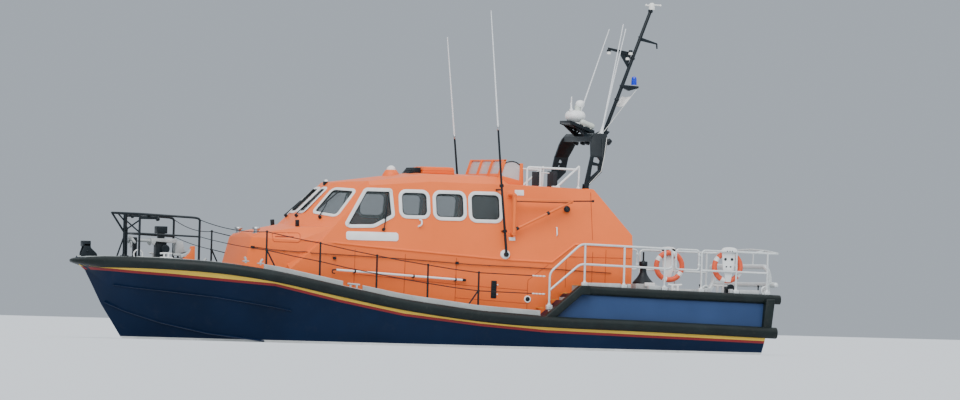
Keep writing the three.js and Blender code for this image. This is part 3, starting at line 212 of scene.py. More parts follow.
# Top of the yellow band, behind the foot of the fender: x, z
BAND_LINE = [(8.02, 1.72), (7.80, 1.70), (7.41, 1.675), (6.93, 1.635), (6.2, 1.59), (5.2, 1.515),
             (4.0, 1.43), (2.5, 1.105), (1.0, 0.833), (-0.8, 0.65), (-2.4, 0.54), (-5.0, 0.481),
             (-7.9, 0.412)]
YELLOW_DEPTH = 0.10
RED_DEPTH = 0.058
BOOT_TOP = 0.05
# Painted sheen on each quarter: fore top, fore foot, aft foot and aft top corners as x, z
QUARTER_SHEEN_OUTLINE = [(-3.20, 1.30), (-2.55, 0.66), (-7.66, 0.58), (-7.75, 1.20)]

deck_tree = BVHTree.FromObject(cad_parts["hull"], bpy.context.evaluated_depsgraph_get())
navy = finish("navy_gelcoat", (0.0035, 0.013, 0.040), 0.38, mottle=0.2, patch=0.7, shine=0.12, grime=0.08)
yellow = finish("yellow_band", (0.86, 0.56, 0.06), 0.45, mottle=0.08, shine=0.3)
dark_red = finish("dark_red_band", (0.25, 0.018, 0.02), 0.45, mottle=0.1, shine=0.3)
bottom_white = finish("bottom_paint", (0.72, 0.73, 0.71), 0.6, mottle=0.12, patch=2.0, relief=0.2,
                      grime=0.35)
# A lighter blue painted on the flat quarter sides: a painted sheen standing for light caught on them.
quarter_sheen_blue = finish("quarter_sheen_blue", (0.021, 0.047, 0.125), 0.35, mottle=0.15, patch=0.7, shine=0.3,
                      grime=0.05)
deck_grit = finish("deck_grit", (0.33, 0.36, 0.36), 0.9, mottle=0.12, patch=1.5, grain=220.0, relief=0.6,
                   shine=0.2, grime=0.4)
HULL_PAINTS = [navy, yellow, dark_red, bottom_white, quarter_sheen_blue, deck_grit]
NAVY, YELLOW, DARK_RED, BOTTOM, QUARTER_SHEEN, DECK = range(6)


def cut(work, point, normal, chosen):
    """Cuts along a plane the faces that are chosen by themselves and their middles."""
    faces = [f for f in work.faces if chosen(f, f.calc_center_median())]
    parts = {p for f in faces for p in (*f.verts, *f.edges, f)}
    bmesh.ops.bisect_plane(work, geom=list(parts), dist=1e-5, plane_co=point, plane_no=normal)


def along(line, x):
    """Height of a line of x, z points that runs aft."""
    for (x1, z1), (x0, z0) in zip(line, line[1:]):
        if x >= x0:
            return z0 + (z1 - z0) * (x - x0) / (x1 - x0)
    return line[-1][1]


def on_side(face):
    """Whether a face belongs to the topsides."""
    return abs(face.normal.z) < 0.75 and abs(face.normal.y) > 0.2


hull = solid_of("hull")
for x, _ in BAND_LINE[1:-1]:
    cut(hull, (x, 0, 0), (1, 0, 0), lambda f, middle: on_side(f) and middle.z > -0.3)
for (x1, z1), (x0, z0) in zip(BAND_LINE, BAND_LINE[1:]):
    across = Vector((z0 - z1, 0, x1 - x0)).normalized()
    for drop in (0.0, YELLOW_DEPTH, YELLOW_DEPTH + RED_DEPTH):
        cut(hull, (x1, 0, z1 - drop), across,
            lambda f, middle: on_side(f) and x0 < middle.x < x1 and middle.z < z1 + 0.25)
cut(hull, (0, 0, BOOT_TOP), (0, 0, 1), lambda f, middle: True)
for (xa, za), (xb, zb) in zip(QUARTER_SHEEN_OUTLINE, QUARTER_SHEEN_OUTLINE[1:] + QUARTER_SHEEN_OUTLINE[:1]):
    cut(hull, (xa, 0, za), Vector((zb - za, 0, xa - xb)).normalized(),
        lambda f, middle: abs(f.normal.y) > 0.8 and middle.x < -2.3 and middle.z > 0.5)


def in_quarter_sheen(x, z):
    """Whether a place on the side lies inside the painted sheen on the quarter."""
    for (xa, za), (xb, zb) in zip(QUARTER_SHEEN_OUTLINE, QUARTER_SHEEN_OUTLINE[1:] + QUARTER_SHEEN_OUTLINE[:1]):
        if (xb - xa) * (z - za) - (zb - za) * (x - xa) > 0:
            return False
    return True


for face in hull.faces:
    middle = face.calc_center_median()
    below = along(BAND_LINE, middle.x) - middle.z
    level = face.normal.z > 0.75 and middle.z > 0.5
    step_riser = face.normal.x > 0.7 and -3.3 < middle.x < -2.3 and middle.z > 0.7
    face.material_index = NAVY
    if middle.z < BOOT_TOP:
        face.material_index = BOTTOM
    elif level or step_riser:
        face.material_index = DECK
    elif on_side(face) and 0 < below < YELLOW_DEPTH:
        face.material_index = YELLOW
    elif on_side(face) and YELLOW_DEPTH <= below < YELLOW_DEPTH + RED_DEPTH:
        face.material_index = DARK_RED
    # Flat side faces inside the outline on each quarter take the painted sheen.
    elif abs(face.normal.y) > 0.8 and abs(middle.y) > 2.2 and in_quarter_sheen(middle.x, middle.z):
        face.material_index = QUARTER_SHEEN
put(hull, "hull_shell", HULL_PAINTS, node="hull", sharp=24.0)

# Spray rails
# Moulded steps on each bow that throw the spray down: one along the knuckle that stops short
# abreast the foredeck, and a lower one along the chine.
SPRAY_WIDTH = 0.075
SIDES = (("port", 1), ("starboard", -1))
# x, y, z from the stem aft
UPPER_SPRAY = [(7.28, 0.545, 1.20), (6.93, 0.80, 1.15), (6.2, 1.22, 1.08), (5.2, 1.66, 0.98),
               (4.0, 2.02, 0.80), (3.55, 2.095, 0.72)]
LOWER_SPRAY = [(7.36, 0.11, 0.80), (6.93, 0.30, 0.61), (6.2, 0.68, 0.37), (5.2, 1.13, 0.15),
               (4.0, 1.58, 0.01)]


def sweep(work, path, section):
    """Carries a section of (outward, up) points along a line that runs aft or forward in plan."""
    rings = []
    for i, point in enumerate(path):
        here = Vector(point)
        before = Vector(path[i - 1]) if i else here
        after = Vector(path[i + 1]) if i < len(path) - 1 else here
        heading = after - before
        out = Vector((heading.y, -heading.x, 0)).normalized()
        ring = [work.verts.new(here + out * o + Vector((0, 0, u))) for o, u in section]
        rings.append([work.edges.new((a, b)) for a, b in zip(ring, ring[1:] + ring[:1])])
    for first, second in zip(rings, rings[1:]):
        bmesh.ops.bridge_loops(work, edges=first + second)
    for end in (rings[0], rings[-1]):
        bmesh.ops.contextual_create(work, geom=end)
    bmesh.ops.recalc_face_normals(work, faces=work.faces)


for side, beam in SIDES:
    spray = bmesh.new()
    for line in (UPPER_SPRAY, LOWER_SPRAY):
        step = [(x, beam * y, z) for x, y, z in line]
        out = [(-0.06, 0.05), (-0.01, 0.055), (SPRAY_WIDTH * 0.5, 0.012), (SPRAY_WIDTH * 0.55, 0.0),
               (-0.06, -0.012)]
        sweep(spray, step, [(o * beam, u) for o, u in out])
    put(spray, f"spray_rails_{side}", [navy], sharp=30)

# Belt fender
# A solid rubber belt of D section bolted round the deck edge, with a second one round the
# raised quarter, a sloping length down the side step and a block on each transom corner.
# Deck edge as x, y, z from the stem aft
DECK_EDGE = [(8.01, 0.09, 1.815), (7.8, 0.40, 1.82), (7.41, 0.86, 1.825), (6.93, 1.28, 1.825),
             (6.2, 1.74, 1.805), (5.2, 2.12, 1.745), (4.0, 2.38, 1.59), (2.5, 2.51, 1.30),
             (1.0, 2.55, 1.03), (-0.8, 2.56, 0.82), (-2.4, 2.56, 0.73), (-5.0, 2.52, 0.68),
             (-7.7, 2.40, 0.61)]
QUARTER_EDGE = [(-3.23, 2.36, 1.476), (-5.2, 2.33, 1.423), (-7.7, 2.23, 1.378)]
BELT_SECTION = [(-0.05, 0.026), (0.035, 0.026), (0.075, 0.012), (0.108, -0.014), (0.13, -0.046),
                (0.14, -0.085), (0.14, -0.12), (0.132, -0.158), (0.112, -0.192), (0.08, -0.216),
                (0.045, -0.228), (-0.05, -0.232)]
QUARTER_SECTION = [(-0.015, 0.002), (0.04, -0.002), (0.082, -0.018), (0.108, -0.045), (0.119, -0.08),
                   (0.119, -0.135), (0.106, -0.17), (0.08, -0.197), (0.045, -0.212), (-0.015, -0.212)]

rubber = finish("fender_rubber", (0.006, 0.011, 0.011), 0.5, mottle=0.3, patch=2.5, grain=90.0, relief=0.3,
                shine=0.25, grime=0.2)


def smooth_line(points):
    """Points on a curve through the given points, for a batten-fair line."""
    steps = 4
    line = []
    knots = [Vector(p) for p in points]
    for i in range(len(knots) - 1):
        a, b = knots[max(0, i - 1)], knots[i]
        c, d = knots[i + 1], knots[min(len(knots) - 1, i + 2)]
        for k in range(steps):
            t = k / steps
            line.append(0.5 * (2 * b + (c - a) * t + (2 * a - 5 * b + 4 * c - d) * t * t
                               + (3 * b - a - 3 * c + d) * t ** 3))
    return line + [knots[-1]]


def mirrored(points):
    """The same points on the other side of the boat."""
    return [(x, -y, z) for x, y, z in points]


def slab(work, outline, y0, y1):
    """A plate with an x, z outline, from one y to another."""
    ring = [work.verts.new((x, y0, z)) for x, z in outline]
    face = work.faces.new(ring)
    pushed = bmesh.ops.extrude_face_region(work, geom=[face])["geom"]
    bmesh.ops.translate(work, vec=(0, y1 - y0, 0),
                        verts=[v for v in pushed if isinstance(v, bmesh.types.BMVert)])
    bmesh.ops.recalc_face_normals(work, faces=work.faces)


belt = bmesh.new()
port_edge = [tuple(p) for p in smooth_line([*DECK_EDGE[:-1], (-7.95, 2.3885, 0.6043)])]
around = mirrored(port_edge)[::-1] + port_edge
sweep(belt, around, BELT_SECTION)
for v in belt.verts:
    if v.co.x > 7.6:
        thin = 1 - 0.55 * min(1.0, (v.co.x - 7.6) / 0.5)
        v.co.z = 1.755 + (v.co.z - 1.755) * thin
put(belt, "belt_fender", [rubber], node="fender", sharp=50)
for side, beam in SIDES:
    upper = bmesh.new()
    line = [(-3.20, beam * 2.3605, 1.475), (-5.2, beam * 2.33, 1.423), (-7.7, beam * 2.23, 1.378),
            (-8.08, beam * 2.2148, 1.371)]
    sweep(upper, line, [(o * beam, u) for o, u in QUARTER_SECTION])
    put(upper, f"quarter_fender_{side}", [rubber], sharp=50)
    slope = bmesh.new()
    slab(slope, [(-3.171, 1.474), (-3.42, 1.474), (-3.42, 1.264), (-3.214, 1.258), (-2.56, 0.685),
                 (-2.52, 0.645), (-2.335, 0.645), (-2.328, 0.74)], beam * 2.38, beam * 2.585)
    slab(slope, [(-7.697, 1.278), (-7.913, 1.278), (-7.838, 0.562), (-7.617, 0.562)], beam * 2.22,
         beam * 2.445)
    soften(slope, 0.035, segments=3)
    put(slope, f"step_and_corner_fenders_{side}", [rubber], sharp=40)

# Toe rail and side deck fittings
# A low moulded rail along the deck edge, taller in two lengths with a mooring gap between
# them; horned fairleads and a cleat on it, yellow nosings on the steps aft, and low grey blocks
# along the raised deck's edge.
TOE_INSET = 0.075
TOE_THICK = 0.045
TOE_HEIGHT = 0.14
TOE_LENGTHS = [(4.26, 2.44), (1.97, -2.25)]
TREAD_EDGES = [(-2.36, 0.94), (-2.64, 1.13), (-2.92, 1.29), (-3.23, 1.476)]
AFT_BLOCKS = [(-3.44, -4.22), (-4.39, -4.47), (-4.90, -5.20), (-6.27, -6.42), (-6.88, -6.96),
              (-7.12, -7.60)]

toe_paint = finish("toe_rail_paint", (0.36, 0.38, 0.37), 0.6, mottle=0.12, patch=3.0, shine=0.3, grime=0.35)
grey_casting = finish("grey_casting", (0.42, 0.44, 0.44), 0.5, mottle=0.12, patch=8.0, shine=0.4, grime=0.2)
nosing_yellow = finish("step_nosing", (0.72, 0.42, 0.05), 0.7, grain=200.0, relief=0.5, grime=0.3)


def edge_at(line, x, column):
    """A column of a line of points that runs aft, at x."""
    for a, b in zip(line, line[1:]):
        if x >= b[0]:
            return a[column] + (b[column] - a[column]) * (x - a[0]) / (b[0] - a[0])
    return line[-1][column]


def edge_run(x0, x1, inset):
    """Points about 0.4 m apart along the side deck's edge, from one x aft to another."""
    count = max(2, round((x0 - x1) / 0.4))
    xs = [x0 + (x1 - x0) * k / count for k in range(count + 1)]
    return [(x, edge_at(DECK_EDGE, x, 1) - inset, edge_at(DECK_EDGE, x, 2)) for x in xs]


def block(work, low, high, edge=0.006, turn=None):
    """A box between two corners, turned by a matrix, with its edges rounded."""
    low, high = Vector(low), Vector(high)
    made = bmesh.ops.create_cube(work, size=1.0)["verts"]
    bmesh.ops.scale(work, vec=[abs(c) for c in high - low], verts=made)
    bmesh.ops.translate(work, vec=(low + high) / 2, verts=made)
    if turn:
        bmesh.ops.transform(work, matrix=turn, verts=made)
    if edge:
        bmesh.ops.bevel(work, geom=list({e for v in made for e in v.link_edges}), offset=edge,
                        offset_type="OFFSET", segments=2, profile=0.5, affect="EDGES", material=-1,
                        clamp_overlap=True)


def tube(work, points, radius, bend=0.0, sides=10, closed=False, end=None):
    """A round bar through the points, its corners bent to a radius, tapering to the end radius."""
    knots = [Vector(p) for p in points]
    path = []
    for i, knot in enumerate(knots):
        inner = closed or 0 < i < len(knots) - 1
        if not (bend and inner):
            path.append(knot)
            continue
        before, after = knots[i - 1] - knot, knots[(i + 1) % len(knots)] - knot
        reach = min(bend, before.length * 0.45, after.length * 0.45)
        a, b = knot + before.normalized() * reach, knot + after.normalized() * reach
        path += [a.lerp(knot, t).lerp(knot.lerp(b, t), t) for t in (0, 0.25, 0.5, 0.75, 1)]
    rings = []
    turn = None
    for i, point in enumerate(path):
        ahead = path[(i + 1) % len(path)] if closed or i < len(path) - 1 else point
        behind = path[i - 1] if closed or i else point
        heading = (ahead - behind).normalized()
        if turn is None:
            turn = Vector((0, 0, 1)).rotation_difference(heading)
        else:
            turn = (turn @ Vector((0, 0, 1))).rotation_difference(heading) @ turn
        width = radius if end is None else radius + (end - radius) * i / (len(path) - 1)
        at = Matrix.Translation(point) @ turn.to_matrix().to_4x4()
        ring = bmesh.ops.create_circle(work, segments=sides, radius=width, matrix=at)["verts"]
        rings.append(list({e for v in ring for e in v.link_edges}))
    made = []
    for first, second in list(zip(rings, rings[1:])) + ([(rings[-1], rings[0])] if closed else []):
        made += bmesh.ops.bridge_loops(work, edges=first + second)["faces"]
    if not closed:
        for ring in (rings[0], rings[-1]):
            made += bmesh.ops.contextual_create(work, geom=ring)["faces"]
    bmesh.ops.recalc_face_normals(work, faces=made)


def set_in(work, part, at=None):
    """Moves a finished shape into place and adds it to a piece."""
    if at:
        bmesh.ops.transform(part, matrix=at, verts=part.verts)
    bmesh.ops.recalc_face_normals(part, faces=part.faces)
    carrier = bpy.data.meshes.new("part")
    part.to_mesh(carrier)
    part.free()
    work.from_mesh(carrier)
    bpy.data.meshes.remove(carrier)


def lathe(work, profile, place, along=(0, 0, 1), steps=24):
    """Turns a profile of (radius, height) points about an axis through a place."""
    part = bmesh.new()
    dots = [part.verts.new((r, 0, h)) for r, h in profile]
    lines = [part.edges.new(pair) for pair in zip(dots, dots[1:])]
    bmesh.ops.spin(part, geom=dots + lines, cent=(0, 0, 0), axis=(0, 0, 1), angle=math.tau, steps=steps,
                   use_merge=True)
    bmesh.ops.remove_doubles(part, verts=part.verts, dist=1e-5)
    open_rims = [e for e in part.edges if e.is_boundary]
    if open_rims:
        bmesh.ops.holes_fill(part, edges=open_rims, sides=0)
    turn = Vector((0, 0, 1)).rotation_difference(Vector(along)).to_matrix().to_4x4()
    set_in(work, part, Matrix.Translation(place) @ turn)


def both_ways(half):
    """A lathe profile and its mirror image about height zero."""
    return half + [(r, -h) for r, h in half[::-1]]


def hoop_of(centre, radius, count):
    """Points round a circle that lies fore and aft."""
    turns = [k * math.tau / count for k in range(count)]
    return [(centre[0] + radius * math.cos(a), centre[1], centre[2] + radius * math.sin(a)) for a in turns]


for side, beam in SIDES:
    toe = bmesh.new()
    for x0, x1, height in [(6.95, -2.26, 0.04)] + [(a, b, TOE_HEIGHT) for a, b in TOE_LENGTHS]:
        run = [(x, beam * y, z) for x, y, z in edge_run(x0, x1, TOE_INSET)]
        section = [(0, -0.02), (0, height - 0.012), (-0.012, height), (0.012 - TOE_THICK, height),
                   (-TOE_THICK, height - 0.012), (-TOE_THICK, -0.02)]
        sweep(toe, run, [(o * beam, u) for o, u in section])
    put(toe, f"toe_rail_moulding_{side}", [toe_paint], node=f"toe_rail_{side}", sharp=30)

    castings = bmesh.new()
    for x, lean in ((4.66, 0.03), (4.33, -0.05)):
        y, z = beam * (edge_at(DECK_EDGE, x, 1) - 0.10), edge_at(DECK_EDGE, x, 2)
        tube(castings, [(x, y, z + 0.10), (x, y, z + 0.19), (x + lean, y, z + 0.235)], 0.026, bend=0.03)
        block(castings, (x - 0.075, y - 0.035, z + 0.13), (x + 0.075, y + 0.035, z + 0.155))
    y, z = beam * (edge_at(DECK_EDGE, 2.2, 1) - 0.16), edge_at(DECK_EDGE, 2.2, 2)
    for x in (2.24, 2.09):
        block(castings, (x - 0.02, y - 0.02, z - 0.02), (x + 0.02, y + 0.02, z + 0.10))
    tube(castings, [(2.31, y, z + 0.125), (2.02, y, z + 0.105)], 0.022)
    for a, b in AFT_BLOCKS:
        y0, y1 = edge_at(QUARTER_EDGE, b, 1) - 0.17, edge_at(QUARTER_EDGE, b, 1) - 0.035
        z = edge_at(QUARTER_EDGE, b, 2)
        block(castings, (a, beam * y0, z - 0.01), (b, beam * y1, z + 0.092), edge=0.014)
    put(castings, f"deck_castings_{side}", [grey_casting], sharp=40)

    nosings = bmesh.new()
    for x, z in TREAD_EDGES:
        block(nosings, (x - 0.045, beam * 1.84, z - 0.004), (x + 0.006, beam * 2.26, z + 0.005), edge=0.002)
    put(nosings, f"step_nosings_{side}", [nosing_yellow], sharp=40)

# Wheelhouse shell
# One moulding in orange gelcoat, hollow, with rounded corners, lined in grey inside; its lower
# wall stands back under a lip at the knuckle and is closed by seamed panels.
WALL_FOOT_Y, WALL_FOOT_Z, WALL_LEAN = 1.85, 2.10, 0.216
KNUCKLE = [(3.25, 2.325), (2.45, 2.275), (1.6, 2.21), (0.1, 2.11), (-1.6, 2.0), (-2.7, 1.97), (-3.27, 2.39),
           (-4.63, 2.36)]
LIP_SECTION = [(-0.02, 0.035), (0.022, 0.004), (0.028, -0.010), (0.024, -0.022), (-0.02, -0.024)]
# Panel joints on the lower wall as x, z lines
SEAMS = [[(1.98, 2.16), (1.98, 1.30)], [(0.79, 2.08), (0.79, 1.10)], [(-0.425, 2.02), (-0.425, 0.92)],
         [(1.98, 1.60), (-0.425, 1.42), (-2.14, 1.33)], [(-2.14, 1.56), (-2.14, 0.76)],
         [(-2.14, 1.56), (-2.62, 1.93)], [(-0.425, 1.12), (-2.14, 1.03)], [(-3.06, 2.12), (-3.06, 1.42)],
         [(-4.02, 2.30), (-4.02, 1.49)], [(-3.06, 2.12), (-4.62, 2.12)]]
AFT_SEAM = [(-3.70, 3.60), (-3.70, 1.50)]

orange = finish("orange_gelcoat", (0.85, 0.160, 0.032), 0.42, mottle=0.05, patch=0.6, shine=0.25,
                grime=0.05)
seam_shade = finish("seam_shadow", (0.40, 0.055, 0.012), 0.8, mottle=0.2)
lining = finish("cabin_lining", (0.50, 0.51, 0.50), 0.8, grain=150.0, relief=0.3)
black = finish("black_coating", (0.005, 0.010, 0.014), 0.45, mottle=0.25, relief=0.2, shine=0.3)
white = finish("white_paint", (0.78, 0.79, 0.78), 0.4, mottle=0.05, patch=4.0, grime=0.06)


def wall_half_beam(z):
    """Half the breadth over the wheelhouse walls at a height."""
    return WALL_FOOT_Y - WALL_LEAN * (z - WALL_FOOT_Z)


house_tree = BVHTree.FromObject(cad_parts["wheelhouse"], bpy.context.evaluated_depsgraph_get())


def on_skin(point, towards):
    """Where a line from a point first meets the wheelhouse, and the surface's slope there."""
    hit, normal, _, _ = house_tree.ray_cast(Vector(point), Vector(towards).normalized())
    return hit, normal


def on_wall(x, z, beam, proud=0.0):
    """A point of the side wall, stood off it by a distance."""
    hit, normal = on_skin((x, beam * 4, z), (0, -beam, 0))
    return hit + normal * proud


shell = solid_of("wheelhouse")
OPEN_WAYS = [Vector(w) for w in ((1, 0, 0.02), (-1, 0, 0.02), (0, 1, 0.02), (0, -1, 0.02))]
for face in shell.faces:
    start = face.calc_center_median() + face.normal * 0.01
    roofed = house_tree.ray_cast(start, Vector((0.01, 0.013, 1)))[0] is not None
    walled = sum(house_tree.ray_cast(start, w)[0] is not None for w in OPEN_WAYS)
    if start.x > -3.85 and roofed and walled >= 3:
        face.material_index = 1
    if -3.73 < start.x < -3.58 and 1.17 < abs(start.y) < 1.40 and start.z > 3.69:
        face.material_index = 2
outer_edges = [e for e in shell.edges if len(e.link_faces) == 2 and e.calc_length() > 0.35
               and math.radians(9) < e.calc_face_angle(0.0) < math.radians(120)
               and all(f.material_index == 0 for f in e.link_faces)]
bmesh.ops.bevel(shell, geom=outer_edges, offset=0.022, offset_type="OFFSET", segments=3, profile=0.5,
                affect="EDGES", material=-1, clamp_overlap=True)
put(shell, "wheelhouse_shell", [orange, lining, black], node="wheelhouse", sharp=32)

for side, beam in SIDES:
    lip = bmesh.new()
    sweep(lip, [on_wall(x, z + 0.02, beam) for x, z in KNUCKLE], [(o * beam, u) for o, u in LIP_SECTION])
    put(lip, f"knuckle_lip_{side}", [orange], sharp=60)
    joints = bmesh.new()
    for seam in SEAMS + [AFT_SEAM]:
        run = []
        for (xa, za), (xb, zb) in zip(seam, seam[1:]):
            run += [(xa + (xb - xa) * k / 6, za + (zb - za) * k / 6) for k in range(6)]
        run.append(seam[-1])
        tube(joints, [on_wall(x, z, beam, 0.0) for x, z in run], 0.0065, sides=6)
    put(joints, f"panel_seams_{side}", [seam_shade], sharp=60)

# Name plate, hooks, vents and lockers on the walls
# Bought-in fittings screwed to the wheelhouse walls: a blank white name plate and tags, a
# louvre, a scuttle, catches and a recessed locker lid each side of the trunk.
NAME_PLATE = (1.57, 2.46, 1.24, 0.20)
# Tags as x, z, width, height
TAGS = [(-1.985, 3.545, 0.215, 0.125), (-1.765, 2.50, 0.15, 0.10)]
LOUVRE = (-1.335, 1.33, 0.13, 0.40)
SCUTTLE = (-2.147, 1.131)


def wall_frame(x, z, beam):
    """A matrix whose X runs aft or forward along the wall, Y up it and Z out of it."""
    hit, normal = on_skin((x, beam * 4, z), (0, -beam, 0))
    along_wall = Vector((0, 0, 1)).cross(normal).normalized()
    upward = normal.cross(along_wall)
    turn = Matrix((along_wall, upward, normal)).transposed().to_4x4()
    return Matrix.Translation(hit) @ turn


def flat(outline, corner):
    """A level face with the given outline and rounded corners."""
    part = bmesh.new()
    ring = [part.verts.new((u, v, 0)) for u, v in outline]
    part.faces.new(ring)
    bmesh.ops.bevel(part, geom=ring, offset=corner, offset_type="OFFSET", segments=5, profile=0.5,
                    affect="VERTICES", material=-1, clamp_overlap=True)
    return part


def thicken(part, low, high, edge=0.003):
    """Gives a level face a thickness from low to high and softens its upper rim."""
    bmesh.ops.translate(part, vec=(0, 0, low), verts=part.verts)
    grown = bmesh.ops.extrude_face_region(part, geom=part.faces[:])["geom"]
    bmesh.ops.translate(part, vec=(0, 0, high - low),
                        verts=[v for v in grown if isinstance(v, bmesh.types.BMVert)])
    top = {f for f in grown if isinstance(f, bmesh.types.BMFace)}
    rim = [e for f in top for e in f.edges if any(g not in top for g in e.link_faces)]
    if edge:
        bmesh.ops.bevel(part, geom=list(set(rim)), offset=edge, offset_type="OFFSET", segments=2,
                        profile=0.5, affect="EDGES", material=-1, clamp_overlap=True)
    return part


def tablet(work, frame_at, width, height, thick, corner=0.03):
    """A thin plate with rounded corners lying on a wall."""
    w, h = width / 2, height / 2
    set_in(work, thicken(flat([(-w, -h), (w, -h), (w, h), (-w, h)], corner), -0.004, thick), frame_at)


for side, beam in SIDES:
    plates = bmesh.new()
    x, z, width, height = NAME_PLATE
    tablet(plates, wall_frame(x, z, beam), width, height, 0.012, corner=0.06)
    for x, z, width, height in TAGS:
        tablet(plates, wall_frame(x, z, beam), width, height, 0.012, corner=0.01)
    hook = [on_wall(0.43, 2.86, beam, 0.02), on_wall(0.40, 2.84, beam, 0.075),
            on_wall(0.40, 2.74, beam, 0.08), on_wall(0.46, 2.71, beam, 0.03),
            on_wall(0.46, 2.71, beam, -0.01)]
    tube(plates, hook, 0.02, bend=0.04)
    handle = [on_wall(-2.84, 2.78, beam, -0.01), on_wall(-2.84, 2.77, beam, 0.04),
              on_wall(-2.84, 2.60, beam, 0.04), on_wall(-2.84, 2.59, beam, -0.01)]
    tube(plates, handle, 0.014, bend=0.03)
    put(plates, f"wall_plates_{side}", [white], sharp=50)

    dark = bmesh.new()
    x, z, width, height = LOUVRE
    at = wall_frame(x, z, beam)
    tablet(dark, at, width, height, 0.012, corner=0.012)
    for k in range(7):
        v = -height / 2 + 0.045 + k * 0.052
        block(dark, (-width / 2 + 0.015, v, 0.008), (width / 2 - 0.015, v + 0.03, 0.026), edge=0.003,
              turn=at)
    lathe(dark, [(0, 0.02), (0.045, 0.02), (0.055, 0.012), (0.055, -0.01)], on_wall(*SCUTTLE, beam),
          (0, beam, 0), 20)
    for x, z in ((2.465, 1.944), (-0.436, 1.91)):
        block(dark, (-0.035, -0.03, -0.01), (0.035, 0.03, 0.05), turn=wall_frame(x, z, beam))
    put(dark, f"wall_vents_{side}", [black], sharp=40)

    bright = bmesh.new()
    lathe(bright, [(0.052, 0.006), (0.056, 0.018), (0.078, 0.016), (0.084, -0.01)], on_wall(*SCUTTLE, beam),
          (0, beam, 0), 24)
    for z in (1.22, 1.44):
        at = wall_frame(-1.42, z, beam)
        block(bright, (-0.014, -0.014, -0.004), (0.014, 0.014, 0.02), turn=at)
    put(bright, f"wall_trim_{side}", [white], sharp=40)
    catches = bmesh.new()
    hit, normal = on_skin((3.10, beam * 0.95, 4.0), (0, 0, -1))
    turn = Vector((0, 0, 1)).rotation_difference(normal).to_matrix().to_4x4()
    block(catches, (-0.04, -0.045, -0.02), (0.04, 0.045, 0.15), edge=0.012,
          turn=Matrix.Translation(hit) @ turn)
    line = [(4.157, 0.944, 2.146), (3.831, 1.353, 2.101), (2.996, 1.80, 2.043), (2.026, 1.809, 2.012),
            (0.733, 1.831, 1.963), (-0.845, 1.854, 1.879), (-1.941, 1.868, 1.856), (-2.683, 1.872, 1.83),
            (-4.447, 1.773, 1.762)]
    stay = []
    for (x0, y0, z0), (x1, y1, z1) in zip(line, line[1:]):
        for k in range(6):
            t = k / 6
            x, y, z = x0 + (x1 - x0) * t, y0 + (y1 - y0) * t, z0 + (z1 - z0) * t
            hit, normal = on_skin((x + (1.2 if x > 3.0 else 0), beam * (y + 1.5), z),
                                  (-1.2 if x > 3.0 else 0, -beam * 1.5, 0))
            stay.append(hit + normal * 0.028)
    tube(catches, stay, 0.009, sides=6)
    for k in range(2, len(stay), 6):
        tube(catches, [stay[k] + Vector((0, -beam * 0.04, 0)), stay[k] + Vector((0, beam * 0.008, 0))],
             0.011, sides=8)
    tube(catches, [stay[0], stay[1]], 0.024, sides=10)
    put(catches, f"jackstay_{side}", [black], sharp=50)

    # The sunk locker lid beside the foredeck and its finger slot
    lid = bmesh.new()
    rim = [(3.74, 2.485), (3.26, 2.49), (3.225, 2.46), (3.25, 2.30), (3.29, 2.275), (3.77, 2.282),
           (3.795, 2.31), (3.777, 2.45)]
    for path, thick in ((rim + rim[:1], 0.007), ([(3.739, 2.394), (3.274, 2.397)], 0.016)):
        walk = []
        for (x0, z0), (x1, z1) in zip(path, path[1:]):
            for k in range(5):
                x, z = x0 + (x1 - x0) * k / 5, z0 + (z1 - z0) * k / 5
                hit, normal = on_skin((x, beam * 3.0, z), (0, -beam, 0))
                walk.append(hit)
        tube(lid, walk, thick, sides=6)
    put(lid, f"trunk_lid_seam_{side}", [seam_shade], sharp=60)

# Windows
# Toughened panes in white alloy rims screwed over the cut openings, with a black seal inside
# each rim; wipers on the front, quarter and foremost side windows.
SIDE_WINDOWS = [
    [(2.19, 2.72), (1.69, 3.53), (1.08, 3.53), (1.04, 2.93), (1.52, 2.68), (2.11, 2.66)],
    [(0.88, 2.91), (0.88, 3.52), (0.19, 3.52), (0.19, 2.91)],
    [(0.07, 2.89), (0.07, 3.52), (-0.68, 3.52), (-0.68, 2.89)],
    [(-0.78, 2.86), (-0.78, 3.52), (-1.54, 3.52), (-1.54, 2.86)]]
FRONT_WINDOW = [(0.06, 0.43), (0.56, 0.43), (0.47, 1.25), (0.06, 1.25)]
QUARTER_WINDOW = [(0.30, 0.36), (1.13, 0.25), (1.19, 1.09), (0.44, 1.13)]
# Screens as a point and a normal on the port side
FRONT_SCREEN = ((3.15, 0, 2.66), (0.7, 0, 0.714))
QUARTER_SCREEN = ((3.05, 0.62, 2.70), (0.639, 0.362, 0.678))
RIM_OUT, RIM_IN, RIM_PROUD, RIM_CORNER = 0.028, 0.050, 0.020, 0.18

rim_white = finish("window_rim_white", (0.72, 0.73, 0.72), 0.4, mottle=0.06, patch=5.0, grime=0.1)
seal_black = finish("window_seal", (0.010, 0.014, 0.015), 0.6, mottle=0.2)
glass = finish("window_glass", (0.10, 0.125, 0.13), 0.05, mottle=0.08, relief=0.0)
glass.node_tree.nodes["Principled BSDF"].inputs["Alpha"].default_value = 0.24


def wall_plane(beam):
    """The side wall's own axes: X forward, Y up the wall and Z out of it."""
    return Matrix(((1, 0, 0, 0),
                   (0, -WALL_LEAN * beam, 0.9774 * beam, (WALL_FOOT_Y + WALL_LEAN * WALL_FOOT_Z) * beam),
                   (0, 1, 0.2111, 0), (0, 0, 0, 1)))


def screen_plane(screen, beam):
    """A raked screen's axes: X across, Y up the screen and Z out of it."""
    point = Vector((screen[0][0], screen[0][1] * beam, screen[0][2]))
    normal = Vector((screen[1][0], screen[1][1] * beam, screen[1][2])).normalized()
    across = Vector((0, 0, 1)).cross(normal).normalized()
    turn = Matrix((across, normal.cross(across), normal)).transposed().to_4x4()
    return Matrix.Translation(point) @ turn


